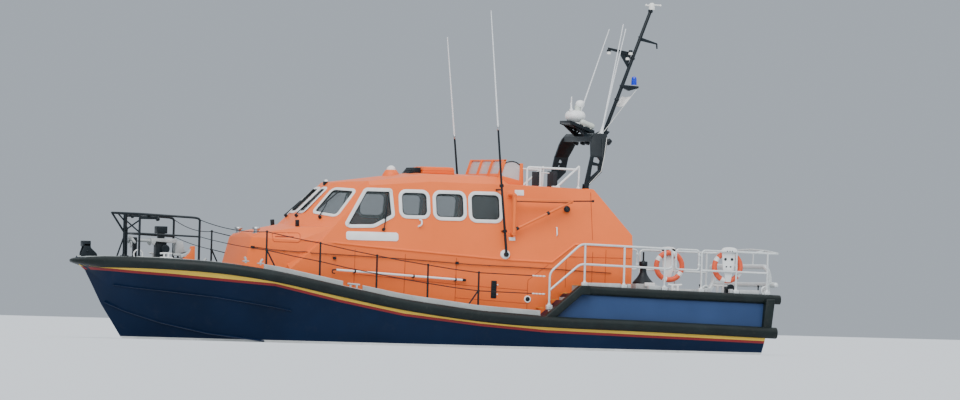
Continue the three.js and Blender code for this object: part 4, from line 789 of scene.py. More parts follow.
def grow(outline, by):
    """An outline moved outward by a distance, its sides kept parallel."""
    area = sum(a[0] * b[1] - b[0] * a[1] for a, b in zip(outline, outline[1:] + outline[:1]))
    wider = []
    for i, here in enumerate(outline):
        spot = Vector(here)
        back = (spot - Vector(outline[i - 1])).normalized()
        on = (Vector(outline[(i + 1) % len(outline)]) - spot).normalized()
        sign = math.copysign(1, area)
        n0, n1 = Vector((back.y, -back.x)) * sign, Vector((on.y, -on.x)) * sign
        wider.append(spot + (n0 + n1) * (by / (1 + n0.dot(n1))))
    return [(p.x, p.y) for p in wider]


def ring_of(outline, out, width, corner, low, high, edge):
    """A flat frame round an opening."""
    part = flat(grow(outline, out), corner)
    inner = part.faces[:]
    bmesh.ops.inset_region(part, faces=inner, thickness=width, use_even_offset=True, use_boundary=True)
    bmesh.ops.delete(part, geom=inner, context="FACES_ONLY")
    return thicken(part, low, high, edge)


def glaze(outline, at, rims, seals, panes, corner):
    """One window: its rim, its seal and its pane."""
    set_in(rims, ring_of(outline, RIM_OUT, RIM_OUT + RIM_IN, corner, -0.004, RIM_PROUD, 0.006), at)
    set_in(seals, ring_of(outline, 0.004 - RIM_IN, 0.022, corner - 0.05, -0.03, 0.010, 0.003), at)
    pane = flat(grow(outline, -RIM_IN - 0.004), max(0.03, corner - 0.06))
    set_in(panes, thicken(pane, -0.020, -0.012, 0), at)


def windows(outlines, at, names, node, corner=RIM_CORNER):
    """Glazes the openings of one wall: pieces for the rims, the seals and the panes."""
    parts = [bmesh.new() for _ in names]
    for outline in outlines:
        glaze(outline, at, *parts, corner=corner)
    looks = ((rim_white, "white_paint", node), (seal_black, "black_paint", None),
             (glass, "window_glass", node))
    for part, name, (look, slot, replaced) in zip(parts, names, looks):
        put(part, name, [look], node=replaced, sharp=40)


def wiper(work, at, pivot, tip, blade_from, blade_to):
    """A wiper in a screen's axes: motor boss, arm and blade."""
    lathe(work, [(0, 0.075), (0.03, 0.072), (0.036, 0.05), (0.036, -0.01)], at @ Vector((*pivot, 0)),
          at.to_3x3() @ Vector((0, 0, 1)), 16)
    tube(work, [at @ Vector((*pivot, 0.06)), at @ Vector((*tip, 0.055))], 0.014, sides=8, end=0.010)
    a, b = at @ Vector((*blade_from, 0.035)), at @ Vector((*blade_to, 0.035))
    tube(work, [a, b], 0.017, sides=6)


front = screen_plane(FRONT_SCREEN, 1)
for side, beam in SIDES:
    wall, screen = wall_plane(beam), screen_plane(QUARTER_SCREEN, beam)
    windows(SIDE_WINDOWS, wall, [f"side_window_{kind}_{side}" for kind in ("rims", "seals", "panes")],
            f"side_windows_{side}")
    windows([[(beam * a, u) for a, u in QUARTER_WINDOW]], screen,
            [f"quarter_window_{kind}_{side}" for kind in ("rim", "seal", "pane")], f"quarter_window_{side}",
            corner=0.15)
    wipers = bmesh.new()
    wiper(wipers, wall, (1.30, 2.62), (1.20, 3.08), (1.27, 2.86), (1.14, 3.44))
    wiper(wipers, screen, (beam * 0.66, 0.20), (beam * 0.62, 0.62), (beam * 0.42, 0.40),
          (beam * 0.72, 1.02))
    wiper(wipers, front, (beam * 0.40, 0.30), (beam * 0.34, 0.78), (beam * 0.34, 0.50), (beam * 0.34, 1.18))
    put(wipers, f"wipers_{side}", [black], sharp=50)

windows([[(beam * a, u) for a, u in FRONT_WINDOW] for beam in (1, -1)], front,
        [f"front_window_{kind}" for kind in ("rims", "seals", "panes")], "front_windows", corner=0.13)

# Cabin
# Grey-lined cabin: a ribbed sole, a helm console with dark screens, and four crew seats on
# pedestals, upholstered in black cloth over foam.
SOLE_TOP = 1.55
SEAT_SPOTS = [(0.85, 0.62), (0.85, -0.62), (-0.75, 0.62), (-0.75, -0.62)]

sole_grey = finish("cabin_sole", (0.10, 0.12, 0.13), 0.85, grain=180.0, relief=0.5, grime=0.2)
console_grey = finish("console_grey", (0.20, 0.22, 0.23), 0.6, grain=120.0, relief=0.2)
screen_black = finish("instrument_glass", (0.006, 0.008, 0.012), 0.12)
seat_cloth = finish("seat_cloth", (0.025, 0.028, 0.034), 0.9, mottle=0.15, patch=3.0, grain=420.0,
                    relief=0.6)
seat_steel = finish("seat_steel", (0.42, 0.43, 0.44), 0.35, metal=0.9)

sole = solid_of("cabin_sole")
for face in sole.faces:
    face.material_index = 0 if face.normal.z > 0.5 else 1
put(sole, "cabin_sole_panels", [sole_grey, lining], node="cabin_sole", sharp=30)

console = bmesh.new()
slab(console, [(2.70, 1.5504), (2.70, 2.45), (2.35, 2.56), (1.90, 2.35), (1.96, 1.5504)], -1.30, 1.30)
soften(console, 0.03)
put(console, "helm_console_body", [console_grey], node="helm_console", sharp=30)
screens = bmesh.new()
tilt = Matrix.Rotation(-math.atan2(0.21, 0.45), 4, "Y") @ Matrix.Rotation(-math.pi / 2, 4, "Z")
for y in (-0.95, -0.35, 0.35, 0.95):
    tablet(screens, Matrix.Translation((2.125, y, 2.458)) @ tilt, 0.46, 0.34, 0.02)
put(screens, "helm_screens", [screen_black], sharp=30)


def cushion(work, centre, size, lean=0.0, crown=0.022):
    """A padded cushion: a crowned top whose sides pull in between its corners."""
    part = bmesh.new()
    bmesh.ops.create_cube(part, size=1.0)
    bmesh.ops.subdivide_edges(part, edges=part.edges[:], cuts=6, use_grid_fill=True)
    for v in part.verts:
        x, y, z = v.co * 2
        swell = (1 - x * x) * (1 - y * y)
        pull = 1 - 0.035 * (1 - max(abs(x), abs(y)) ** 4)
        v.co = Vector((x * size[0] / 2 * (1 - 0.03 * (1 - y * y) * abs(x)),
                       y * size[1] / 2 * (1 - 0.03 * (1 - x * x) * abs(y)),
                       z * size[2] / 2 * pull + (crown * swell if z > 0 else 0)))
    bmesh.ops.bevel(part, geom=[e for e in part.edges if e.calc_face_angle(0.0) > 0.9], offset=0.022,
                    offset_type="OFFSET", segments=3, profile=0.5, affect="EDGES", material=-1,
                    clamp_overlap=True)
    set_in(work, part, Matrix.Translation(centre) @ Matrix.Rotation(lean, 4, "Y"))


frames = bmesh.new()
for y0, y1 in ((-0.70, -0.50), (0.50, 0.70)):
    block(frames, (-1.30, y0, SOLE_TOP), (1.25, y1, SOLE_TOP + 0.055), edge=0.01)
for x, y in SEAT_SPOTS:
    lathe(frames, [(0.15, 0), (0.15, 0.03), (0.075, 0.06), (0.07, 0.36), (0.13, 0.45), (0.13, 0.47)],
          (x, y, SOLE_TOP + 0.03))
    block(frames, (x - 0.335, y - 0.22, 2.10), (x - 0.315, y + 0.22, 2.95), edge=0.006)
put(frames, "seat_frames", [seat_steel], node="crew_seats", sharp=40)
for number, (x, y) in enumerate(SEAT_SPOTS, 1):
    pads = bmesh.new()
    cushion(pads, (x, y, 2.105), (0.50, 0.48, 0.11))
    cushion(pads, (x - 0.265, y, 2.52), (0.72, 0.44, 0.09), lean=math.pi / 2 + 0.02)
    cushion(pads, (x - 0.262, y, 2.90), (0.16, 0.30, 0.085), lean=math.pi / 2 + 0.02, crown=0.01)
    pad = put(pads, f"crew_seat_pads_{number}", [seat_cloth], node="crew_seats",
              sharp=70)

# After door
# A moulded weathertight door in the sheltered recess, with a small window, a dog handle and
# two hinges on its port edge; it rides on its own body.
DOOR_FACE_X = -3.895
# Window foot, head and half breadth, in the boat's frame
DOOR_LIGHT = (2.55, 3.05, 0.17)

door = solid_of("wheelhouse_door")
soften(door, 0.004)
put(door, "after_door_leaf", [orange], body="after_door", node="wheelhouse_door",
    sharp=30)
door_trim = bmesh.new()
turn = Matrix(((0, 0, -1, 0), (-1, 0, 0, 0), (0, 1, 0, 0), (0, 0, 0, 1)))
aft_facing = Matrix.Translation((DOOR_FACE_X, 0, 0)) @ turn
low, high, half = DOOR_LIGHT
door_light = [(-half, low), (half, low), (half, high), (-half, high)]
set_in(door_trim, ring_of(door_light, 0.03, 0.055, 0.08, -0.003, 0.012, 0.004), aft_facing)
put(door_trim, "after_door_rim", [rim_white], body="after_door", sharp=40)
door_pane = bmesh.new()
set_in(door_pane, thicken(flat(door_light, 0.06), -0.003, 0.003, 0), aft_facing)
put(door_pane, "after_door_pane", [screen_black], body="after_door", sharp=40)

# Roof fittings
# An orange liferaft locker with a moulded lid and a black vent cowl at its fore end, a white
# aerial dome on an orange plinth, and small lamps at the top of the screens.
RAFT_LID_JOINT_Z = 4.02
DOME_X = 0.60

locker = solid_of("raft_locker")
soften(locker, 0.02, segments=3)
put(locker, "raft_locker_body", [orange], node="raft_locker", sharp=35)
lid = bmesh.new()
lip = ((-0.03, -0.012), (-0.036, 0.012), (-0.784, 0.012), (-0.790, -0.012))
slab(lid, [(x, RAFT_LID_JOINT_Z + dz) for x, dz in lip], -0.428, 0.428)
soften(lid, 0.006)
for y in (-0.14, 0.14):
    block(lid, (-0.77, y - 0.012, 4.078), (-0.05, y + 0.012, 4.094), edge=0.005)
put(lid, "raft_locker_lid_trim", [orange], sharp=35)
cowl = bmesh.new()
slab(cowl, [(0.26, 3.90), (0.14, 4.068), (-0.015, 4.068), (-0.015, 3.88)], -0.30, 0.30)
soften(cowl, 0.012)
for k in range(4):
    slat = ((0.245, 3.93), (0.262, 3.935), (0.25, 3.95))
    slab(cowl, [(x - 0.03 * k, z + 0.035 * k) for x, z in slat], -0.26, 0.26)
put(cowl, "roof_vent_cowl", [black], sharp=35)

dome = bmesh.new()
lathe(dome, [(0, 0.215), (0.045, 0.205), (0.085, 0.175), (0.105, 0.13), (0.108, 0.08), (0, 0.08)],
      (DOME_X, 0, 3.885), steps=32)
put(dome, "roof_dome_cap", [white], node="roof_dome", sharp=50)
plinth = bmesh.new()
lathe(plinth, [(0, 0.10), (0.115, 0.10), (0.135, 0.085), (0.20, -0.02), (0.205, -0.14), (0, -0.14)],
      (DOME_X, 0, 3.90), steps=32)
put(plinth, "roof_dome_plinth", [orange], node="roof_dome", sharp=40)

screen_lamp = bmesh.new()
block(screen_lamp, (2.10, -0.055, 3.60), (2.21, 0.055, 3.69), edge=0.015)
put(screen_lamp, "screen_lamp", [black], sharp=40)
lamp_cap = bmesh.new()
lathe(lamp_cap, [(0, 0.045), (0.03, 0.04), (0.045, 0.015), (0.045, -0.005), (0, -0.005)], (2.145, 0, 3.69),
      steps=16)
put(lamp_cap, "screen_lamp_cap", [white], sharp=50)

# Upper steering position
# An orange frame with three clear panes between raked ribs and a clear wing each side under a
# black tube, a console with its dash and wheel, two padded seats, and white rails aft.
SCREEN_FOOT_X, SCREEN_SILL_Z, SCREEN_TOP_Z, SCREEN_LEAN = -1.60, 3.95, 4.29, 0.11
RIBS_Y = (-1.195, -0.40, 0.40, 1.195)
UPPER_RAIL_Y = 1.30

pane_tint = finish("upper_pane", (0.62, 0.56, 0.55), 0.12, mottle=0.1)
pane_tint.node_tree.nodes["Principled BSDF"].inputs["Alpha"].default_value = 0.62


def screen_x(z):
    """The upper screen's fore face at a height."""
    return SCREEN_FOOT_X - SCREEN_LEAN * (z - SCREEN_SILL_Z) / (SCREEN_TOP_Z - SCREEN_SILL_Z)


# Wing outline as x, z: the base on the roof and the post at its after end
WING_BASE = [(-1.60, 3.66), (-1.585, 3.94), (-1.72, 3.915), (-2.085, 3.83), (-2.095, 4.22), (-2.165, 4.22),
             (-2.19, 3.62)]
WING_PANE = [(-1.60, 3.93), (-1.69, 4.17), (-1.78, 4.235), (-1.90, 4.262), (-2.02, 4.235), (-2.09, 4.18),
             (-2.09, 3.83), (-1.72, 3.91)]

ribs = bmesh.new()
for z0, z1, reach in ((3.74, 3.975, 1.195), (4.262, 4.298, 1.217)):
    slab(ribs, [(screen_x(z) - back, z) for back, z in ((0, z0), (0, z1), (0.045, z1), (0.045, z0))],
         -reach, reach)
for beam in (1, -1):
    slab(ribs, WING_BASE, beam * 1.176, beam * 1.218)
for y in RIBS_Y:
    corners = ((0.032, 3.90), (0.032, 4.30), (-0.058, 4.30), (-0.058, 3.90))
    slab(ribs, [(screen_x(z) + out, z) for out, z in corners], y - 0.022, y + 0.022)
soften(ribs, 0.005)
put(ribs, "upper_screen_frame", [orange], node="upper_screen", sharp=30)
panes = bmesh.new()
for y0, y1 in zip(RIBS_Y, RIBS_Y[1:]):
    corners = ((0.02, 3.96), (0.02, 4.275), (0.028, 4.275), (0.028, 3.96))
    slab(panes, [(screen_x(z) - back, z) for back, z in corners], y0 + 0.02, y1 - 0.02)
put(panes, "upper_screen_panes", [pane_tint], node="upper_panes", sharp=30)

helm = solid_of("upper_helm")
soften(helm, 0.02)
put(helm, "upper_helm_console", [orange], node="upper_helm", sharp=30)
dash = bmesh.new()
tilt = Matrix.Rotation(-math.atan2(0.19, 0.12), 4, "Y") @ Matrix.Rotation(math.pi / 2, 4, "Z")
for y in (-0.55, 0.0, 0.55):
    tablet(dash, Matrix.Translation((-2.06, y, 3.595)) @ tilt, 0.42, 0.16, 0.012)
put(dash, "upper_helm_dash", [screen_black], sharp=30)
wheel = bmesh.new()
hub = Vector((-2.19, 0.55, 3.50))


def on_wheel(angle, radius):
    """A point of the raked steering wheel."""
    return hub + Vector((0.03 * math.sin(angle), radius * math.cos(angle), radius * math.sin(angle)))


tube(wheel, [on_wheel(k * math.tau / 24, 0.17) for k in range(24)], 0.014, closed=True)
for k in range(3):
    tube(wheel, [hub, on_wheel(k * math.tau / 3 + 0.5, 0.165)], 0.010, sides=8)
tube(wheel, [hub + Vector((-0.02, 0, 0)), (-2.02, 0.55, 3.50)], 0.028)
put(wheel, "upper_helm_wheel", [black], sharp=50)

stand = bmesh.new()
block(stand, (-3.15, -0.82, 2.8004), (-2.65, 0.82, 2.92), edge=0.02)
for y in (-0.56, 0.56):
    lathe(stand, [(0.12, 0), (0.10, 0.05), (0.07, 0.30), (0.12, 0.32), (0.12, 0.335), (0, 0.335)],
          (-2.90, y, 2.91))
    block(stand, (-3.152, y - 0.21, 3.24), (-3.13, y + 0.21, 4.02), edge=0.01)
put(stand, "upper_seat_frames", [black], node="upper_seats", sharp=40)
for number, y in enumerate((0.56, -0.56), 1):
    pads = bmesh.new()
    cushion(pads, (-2.89, y, 3.31), (0.49, 0.47, 0.12))
    cushion(pads, (-3.085, y, 3.70), (0.74, 0.45, 0.095), lean=math.pi / 2)
    pad = put(pads, f"upper_seat_pads_{number}", [seat_cloth], node="upper_seats",
              sharp=70)

for side, beam in SIDES:
    wing = bmesh.new()
    slab(wing, WING_PANE, beam * 1.192, beam * 1.200)
    put(wing, f"upper_wing_pane_{side}", [pane_tint], sharp=30)
    hoop = bmesh.new()
    tube(hoop, [(x, beam * 1.196, z) for x, z in WING_PANE[:6]], 0.014, bend=0.05)
    put(hoop, f"upper_wing_tube_{side}", [black], sharp=50)

    rail = bmesh.new()
    y, inner_y = beam * UPPER_RAIL_Y, beam * (UPPER_RAIL_Y - 0.10)
    tube(rail, [(-2.24, y, 3.66), (-2.24, y, 4.14), (-3.44, y, 4.115)], 0.024, bend=0.07, sides=12)
    for x0, z0, x1, z1, thick in ((-2.56, 3.66, -2.56, 4.135, 0.022), (-2.93, 3.68, -3.49, 4.19, 0.026),
                                  (-3.49, 4.19, -3.475, 3.66, 0.022)):
        tube(rail, [(x0, y, z0), (x1, y, z1)], thick, sides=12)
    tube(rail, [(-2.63, inner_y, 3.66), (-2.63, inner_y, 4.02), (-2.80, inner_y, 4.02)], 0.016, bend=0.04)
    tube(rail, [(-2.56, y, 4.02), (-2.63, inner_y, 4.02)], 0.014)
    block(rail, (-3.02, y - 0.07, 3.645), (-2.85, y + 0.07, 3.725), edge=0.012)
    for x in (-2.24, -2.56, -3.475):
        lathe(rail, [(0.05, -0.03), (0.05, 0.012), (0.026, 0.03), (0.024, 0.05)], (x, y, 3.69), steps=16)
    put(rail, f"upper_rail_tubes_{side}", [white], node=f"upper_rail_{side}", sharp=50)

# Mast
# A folding alloy arch of two pierced legs under a beam and a raked radar platform, with a long
# pole that rakes aft and carries the lights; it rides on its own body and folds at the roof.
MAST_FOOT = (-3.655, 1.30, 3.755)
# Piercings of the port and the starboard leg as x, z
LEG_HOLES = {
    1: [[(-3.745, 3.935), (-3.785, 4.222), (-3.935, 4.210), (-3.938, 4.112)],
        [(-3.802, 4.300), (-3.820, 4.405), (-3.915, 4.405), (-3.978, 4.335), (-3.962, 4.262)]],
    -1: [[(-3.838, 4.294), (-3.868, 4.383), (-3.930, 4.326), (-3.925, 4.281)],
         [(-3.825, 4.200), (-3.847, 4.240), (-3.880, 4.232), (-3.872, 4.190)]]}
POLE_FOOT, POLE_TOP = (-4.45, 0, 4.86), (-5.56, 0, 7.86)
PLATFORM_FORE, PLATFORM_RAKE = -3.545, 0.365
PLATFORM_UP = Vector((-PLATFORM_RAKE, 0, 1)).normalized()

lamp_white = finish("lamp_white", (0.80, 0.80, 0.76), 0.35, mottle=0.05, patch=8.0)
beacon_blue = finish("beacon_blue", (0.01, 0.035, 0.55), 0.15, mottle=0.1, patch=10.0)
radome_white = finish("radome_white", (0.80, 0.81, 0.80), 0.35, mottle=0.06, patch=4.0, grime=0.12)
canister_grey = finish("canister_grey", (0.56, 0.60, 0.54), 0.45, mottle=0.08, patch=6.0, grime=0.1)
rod_white = finish("aerial_white", (0.78, 0.80, 0.81), 0.4, mottle=0.04, patch=6.0)
steel = finish("bright_steel", (0.45, 0.46, 0.47), 0.3, metal=1.0)


def leg_plane(beam):
    """A mast leg's own axes: X fore and aft, Y up the leg and Z outboard."""
    return Matrix(((1, 0, 0, 0), (0, 0, beam, beam * MAST_FOOT[1]), (0, 1, 0, 0), (0, 0, 0, 1)))


def platform_z(x):
    """Height of the raked radar platform."""
    return 5.245 - PLATFORM_RAKE * (PLATFORM_FORE - x)


arch = solid_of("mast_arch")
soften(arch, 0.006)
put(arch, "mast_arch_frame", [black], body="mast", node="mast_arch", sharp=30)
stiffeners = bmesh.new()
for beam in (1, -1):
    for hole in LEG_HOLES[beam]:
        set_in(stiffeners, ring_of(hole, 0.012, 0.006, 0.012, -0.05, 0.05, 0.003), leg_plane(beam))
    lathe(stiffeners, [(0, 0.075), (0.035, 0.07), (0.045, 0.05), (0.045, -0.10), (0, -0.10)],
          (MAST_FOOT[0], beam * MAST_FOOT[1], MAST_FOOT[2]), (0, beam, 0), 16)
    for a, b in [(-3.70, (-3.94, 4.95)), (-3.86, (-3.97, 4.955)), (-4.02, (-3.93, 4.95))]:
        tube(stiffeners, [(a, beam * 0.33, platform_z(a) - 0.05), (b[0], beam * 0.33, b[1])], 0.020)
    corners = ((-3.55, 0.004), (-4.135, 0.004), (-4.135, -0.072), (-3.55, -0.072))
    slab(stiffeners, [(x, platform_z(x) + dz) for x, dz in corners], beam * 0.370, beam * 0.390)
for x, y in ((-3.93, 0.55), (-4.02, -0.05), (-4.05, -0.62)):
    lathe(stiffeners, [(0, 0), (0.05, 0.005), (0.065, 0.04), (0.055, 0.085), (0, 0.095)], (x, y, 4.785),
          (0.3, 0, -1), 16)
tube(stiffeners, [(-4.16, 0.86, 4.90), (-4.29, 0.86, 4.85), (-4.29, 0.86, 4.79)], 0.016, bend=0.04)
lathe(stiffeners, [(0, 0), (0.06, 0), (0.072, 0.05), (0.05, 0.13), (0, 0.135)], (-4.275, 0.86, 4.735),
      (-0.6, 0, 0.5), 16)
tube(stiffeners, [(-3.68, 1.348, 3.80), (-3.80, 1.348, 3.94), (-3.975, 1.348, 4.12), (-4.02, 1.348, 4.40),
                  (-4.09, 1.115, 4.84)], 0.013, bend=0.03, sides=8)
put(stiffeners, "mast_arch_fittings", [black], body="mast", sharp=40)

pole = bmesh.new()
tube(pole, [POLE_FOOT, POLE_TOP], 0.045, sides=20, end=0.038)
for t in (0.02, 0.30, 0.62, 0.985):
    spot = Vector(POLE_FOOT).lerp(Vector(POLE_TOP), t)
    lathe(pole, both_ways([(0.036, -0.03), (0.056, -0.025)]), spot, Vector(POLE_TOP) - Vector(POLE_FOOT))
slab(pole, [(-4.20, 4.872), (-4.20, 4.94), (-4.48, 5.06), (-4.62, 5.02), (-4.48, 4.862)], -0.07, 0.07)
slab(pole, [(-4.54, 6.955), (-4.54, 6.905), (-5.09, 6.765), (-5.12, 6.85)], -0.022, 0.022)
slab(pole, [(-4.81, 6.83), (-5.10, 6.83), (-5.02, 6.50)], -0.010, 0.010)
slab(pole, [(-5.26, 7.23), (-5.72, 7.085), (-5.735, 7.045), (-5.30, 7.13)], -0.020, 0.020)
tube(pole, [(-5.715, 0, 7.06), (-5.725, 0, 6.955)], 0.018)
slab(pole, [(-4.86, 6.11), (-4.86, 6.06), (-5.06, 5.97), (-5.29, 6.04), (-5.29, 6.082)], -0.055, 0.055)
for x, y, z in ((-4.56, 0, 6.86), (-5.07, 0.055, 6.86), (-5.02, 0, 6.74)):
    lathe(pole, [(0, 0.05), (0.045, 0.045), (0.05, 0.0), (0, 0.0)], (x, y, z), steps=14)
block(pole, (-5.10, 0, 6.885), (-5.04, 0.06, 6.905), edge=0.004)
soften(pole, 0.004, over=60)
put(pole, "mast_pole_bar", [black], body="mast", node="mast_pole", sharp=40)
lamps = bmesh.new()
for x, y, z in ((-4.565, 0, 6.79), (-5.07, 0.055, 6.79), (-5.015, 0, 6.67)):
    lathe(lamps, [(0, 0.075), (0.038, 0.07), (0.046, 0.05), (0.046, 0.01), (0, 0)], (x, y, z), steps=16)
lathe(lamps, [(0, 0), (0.068, 0), (0.07, 0.06), (0.06, 0.09), (0.06, 0.13), (0.03, 0.155), (0, 0.155)],
      (-5.575, 0, 7.852), steps=20)
tube(lamps, [(-5.45, 0, 7.94), (-5.60, 0, 7.965), (-5.78, 0, 7.955)], 0.016)
for x in (-5.78, -5.44):
    lathe(lamps, [(0, 0.025), (0.02, 0.02), (0.03, -0.01), (0, -0.03)], (x, 0, 7.955), steps=12)
put(lamps, "mast_lamps", [lamp_white], body="mast", sharp=50)
beacon = bmesh.new()
lathe(beacon, [(0, 0.225), (0.03, 0.222), (0.052, 0.205), (0.06, 0.17), (0.066, 0.03), (0, 0.03)],
      (-5.19, 0, 6.08), steps=24)
put(beacon, "beacon_lens", [beacon_blue], body="mast", sharp=50)

scanner = bmesh.new()
place = Vector((-3.79, 0, platform_z(-3.79) + 0.001))
lathe(scanner, [(0, 0.108), (0.149, 0.108), (0.149, 0), (0, 0)], place, PLATFORM_UP, 36)
lathe(scanner, [(0, 0.257), (0.10, 0.254), (0.18, 0.231), (0.214, 0.197), (0.232, 0.15), (0.236, 0.112),
                (0.222, 0.07), (0.195, 0.035), (0.165, 0), (0, 0)], place + Vector((0, 0, 0.075)), steps=44)
lathe(scanner, [(0, 0.159), (0.03, 0.156), (0.062, 0.143), (0.088, 0.12), (0.102, 0.09), (0.104, 0.05),
                (0.100, 0.025), (0.085, 0), (0, 0)], (-3.90, 0, 5.566), steps=32)
lathe(scanner, [(0, 0.20), (0.022, 0.19), (0.022, 0.07), (0.045, 0.04), (0.045, -0.04), (0, -0.04)],
      (-3.66, 0.10, 5.46), (0.05, 0, 1), 20)
tube(scanner, [(-3.655, 0.10, 5.64), (-3.66, 0.10, 5.80)], 0.016, end=0.011)
put(scanner, "radome_housing", [radome_white], body="mast", node="radome", sharp=45)
drum = bmesh.new()
lathe(drum, [(0, 0.118), (0.071, 0.118), (0.072, 0.02), (0.085, 0.0), (0.085, -0.01), (0, -0.01)],
      (-3.845, 0, 5.48), steps=24)
put(drum, "dome_pedestal", [canister_grey], body="mast", sharp=45)

can = bmesh.new()
aft_end, fore_end = (Vector((x, 0.355, platform_z(x) + 0.076)) for x in (-4.13, -3.80))
reach = (fore_end - aft_end).length
lathe(can, [(0, 0), (0.045, 0.003), (0.063, 0.025), (0.066, 0.05), (0.066, reach - 0.05),
            (0.063, reach - 0.025), (0.045, reach - 0.003), (0, reach)], aft_end, fore_end - aft_end, 24)
for t in (0.27, 0.74):
    spot = aft_end.lerp(fore_end, t)
    lathe(can, both_ways([(0.06, -0.018), (0.072, -0.018)]), spot, fore_end - aft_end, 24)
    block(can, (spot.x - 0.022, 0.31, platform_z(spot.x) - 0.004), (spot.x + 0.022, 0.40, spot.z - 0.03),
          edge=0.004)
put(can, "raft_canister_shell", [canister_grey], body="mast", node="mast_canister",
    sharp=45)

# Aerials on the mast: foot and tip
for number, (foot, tip) in enumerate([
        ((-3.915, -0.33, platform_z(-3.915)), (-4.67, -0.33, 7.38)),
        ((-4.14, 0.88, 4.957), (-4.60, 0.88, 7.48)),
        ((-4.18, 0.72, 4.957), (-4.715, 0.72, 7.375))], 1):
    rod = bmesh.new()
    foot, tip = Vector(foot), Vector(tip)
    lathe(rod, [(0.045, 0.0), (0.045, 0.03), (0.030, 0.05), (0.026, 0.16), (0.018, 0.18)],
          foot + Vector((0, 0, 0.001)), tip - foot, 16)
    tube(rod, [foot, foot.lerp(tip, 0.45), tip], 0.020, end=0.010, sides=12)
    put(rod, f"mast_aerial_{number}", [rod_white], body="mast",
        node=f"mast_whip_{number}", sharp=50)

# Halyard and flag
# A thin plaited halyard, held taut from the beacon's bracket to a cleat on the arch and down
# the leg, and a small plain bunting flag toggled to it, streaming across the boat.
HALYARD_TOP, HALYARD_TURN, HALYARD_FOOT = (-5.275, 0.03, 6.045), (-4.47, 0.10, 5.03), (-4.20, 0.90, 4.90)
ROPE_RADIUS = 0.007
FLAG_FLY, FLAG_HOIST = 0.30, 0.30

rope_white = finish("halyard_white", (0.70, 0.70, 0.66), 0.8, grain=900.0, relief=0.4)
bunting = finish("bunting", (0.76, 0.74, 0.72), 0.9, mottle=0.08, patch=9.0, grain=1400.0, relief=0.5)
halyard = bmesh.new()
for line in ([HALYARD_TOP, HALYARD_TURN],
             [HALYARD_TURN, (-4.235, 0.20, 4.95), HALYARD_FOOT],
             [HALYARD_FOOT, (-4.20, 1.10, 4.86), (-4.065, 1.352, 4.43), (-4.00, 1.350, 4.09),
              (-3.72, 1.350, 3.79)]):
    tube(halyard, line, ROPE_RADIUS, sides=8)
put(halyard, "flag_halyard", [rope_white], body="mast", sharp=60)
flag = bmesh.new()
bmesh.ops.create_grid(flag, x_segments=20, y_segments=14, size=0.5)
down = (Vector(HALYARD_TURN) - Vector(HALYARD_TOP)).normalized()
peak = Vector(HALYARD_TOP) + down * 0.26
fly_way = Vector((0.45, -0.87, -0.05)).normalized()
ripple_way = Vector((0.7, 0.35, 0.5)).normalized()
for v in flag.verts:
    u, w = v.co.x + 0.5, 0.5 - v.co.y
    wave = 0.022 * u * math.sin(u * 8.5 + w * 1.5)
    v.co = peak + down * (FLAG_HOIST * w) + fly_way * (FLAG_FLY * 0.965 * u) + ripple_way * wave
flag_piece = put(flag, "plain_flag", [bunting], body="mast", sharp=80)
flag_piece.modifiers.new("cloth_thickness", "SOLIDIFY").thickness = 0.0015

# Side aerials, davit and boat hook
# A tall whip each side on a round white wall base with a black foot section and a clamp at the
# roof edge; a folding recovery davit on the port wall; a white boat hook in clips.
# Foot, roof clamp and tip, port and starboard
WHIPS = [[(-1.58, 1.96, 2.13), (-1.44, 1.90, 3.69), (-1.085, 1.88, 7.66)],
         [(-1.767, -1.96, 2.13), (-1.627, -1.90, 3.69), (-1.27, -1.88, 7.11)]]
DAVIT_X, DAVIT_Y, DAVIT_FOOT, DAVIT_HEAD, DAVIT_REACH = -1.76, 1.90, 2.62, 3.46, 1.40
DAVIT_TIP = DAVIT_X - DAVIT_REACH
HOOK_Y, HOOK_FORE, HOOK_RISE = 1.905, (2.44, 1.68), 0.0512

for side, beam, marks in (("port", 1, WHIPS[0]), ("starboard", -1, WHIPS[1])):
    foot, clamp, tip = (Vector(mark) for mark in marks)
    joint = clamp.lerp(tip, 0.33)
    dark = bmesh.new()
    tube(dark, [foot, clamp, joint], 0.030, end=0.022, sides=14)
    lathe(dark, [(0, 0.06), (0.045, 0.055), (0.055, 0.03), (0.055, -0.03), (0, -0.03)],
          (foot.x, foot.y - beam * 0.01, foot.z), (0, beam, 0), 20)
    for t in (0.34, 1.0):
        spot = foot.lerp(clamp, t)
        lathe(dark, both_ways([(0.03, -0.035), (0.05, -0.03)]), spot, clamp - foot, 16)
        wall = on_wall(spot.x, min(spot.z, 3.60), beam, -0.01)
        tube(dark, [spot - Vector((0, 0, 0.09 if t == 1.0 else 0)), wall], 0.020)
    put(dark, f"side_aerial_foot_{side}", [black], node=f"side_whip_{side}", sharp=50)
    base = bmesh.new()
    wall = on_wall(foot.x, foot.z, beam, -0.01)
    lathe(base, [(0, 0.075), (0.085, 0.073), (0.105, 0.06), (0.112, 0.03), (0.112, -0.02), (0, -0.02)],
          wall, (0, beam, 0.1), 32)
    tube(base, [joint, tip], 0.020, end=0.010, sides=12)
    put(base, f"side_aerial_rod_{side}", [rod_white], node=f"side_whip_{side}", sharp=50)
    ring = bmesh.new()
    lathe(ring, [(0.024, -0.05), (0.030, -0.045), (0.030, 0.045), (0.020, 0.055)], joint, tip - joint, 16)
    put(ring, f"side_aerial_ferrule_{side}", [steel], sharp=50)

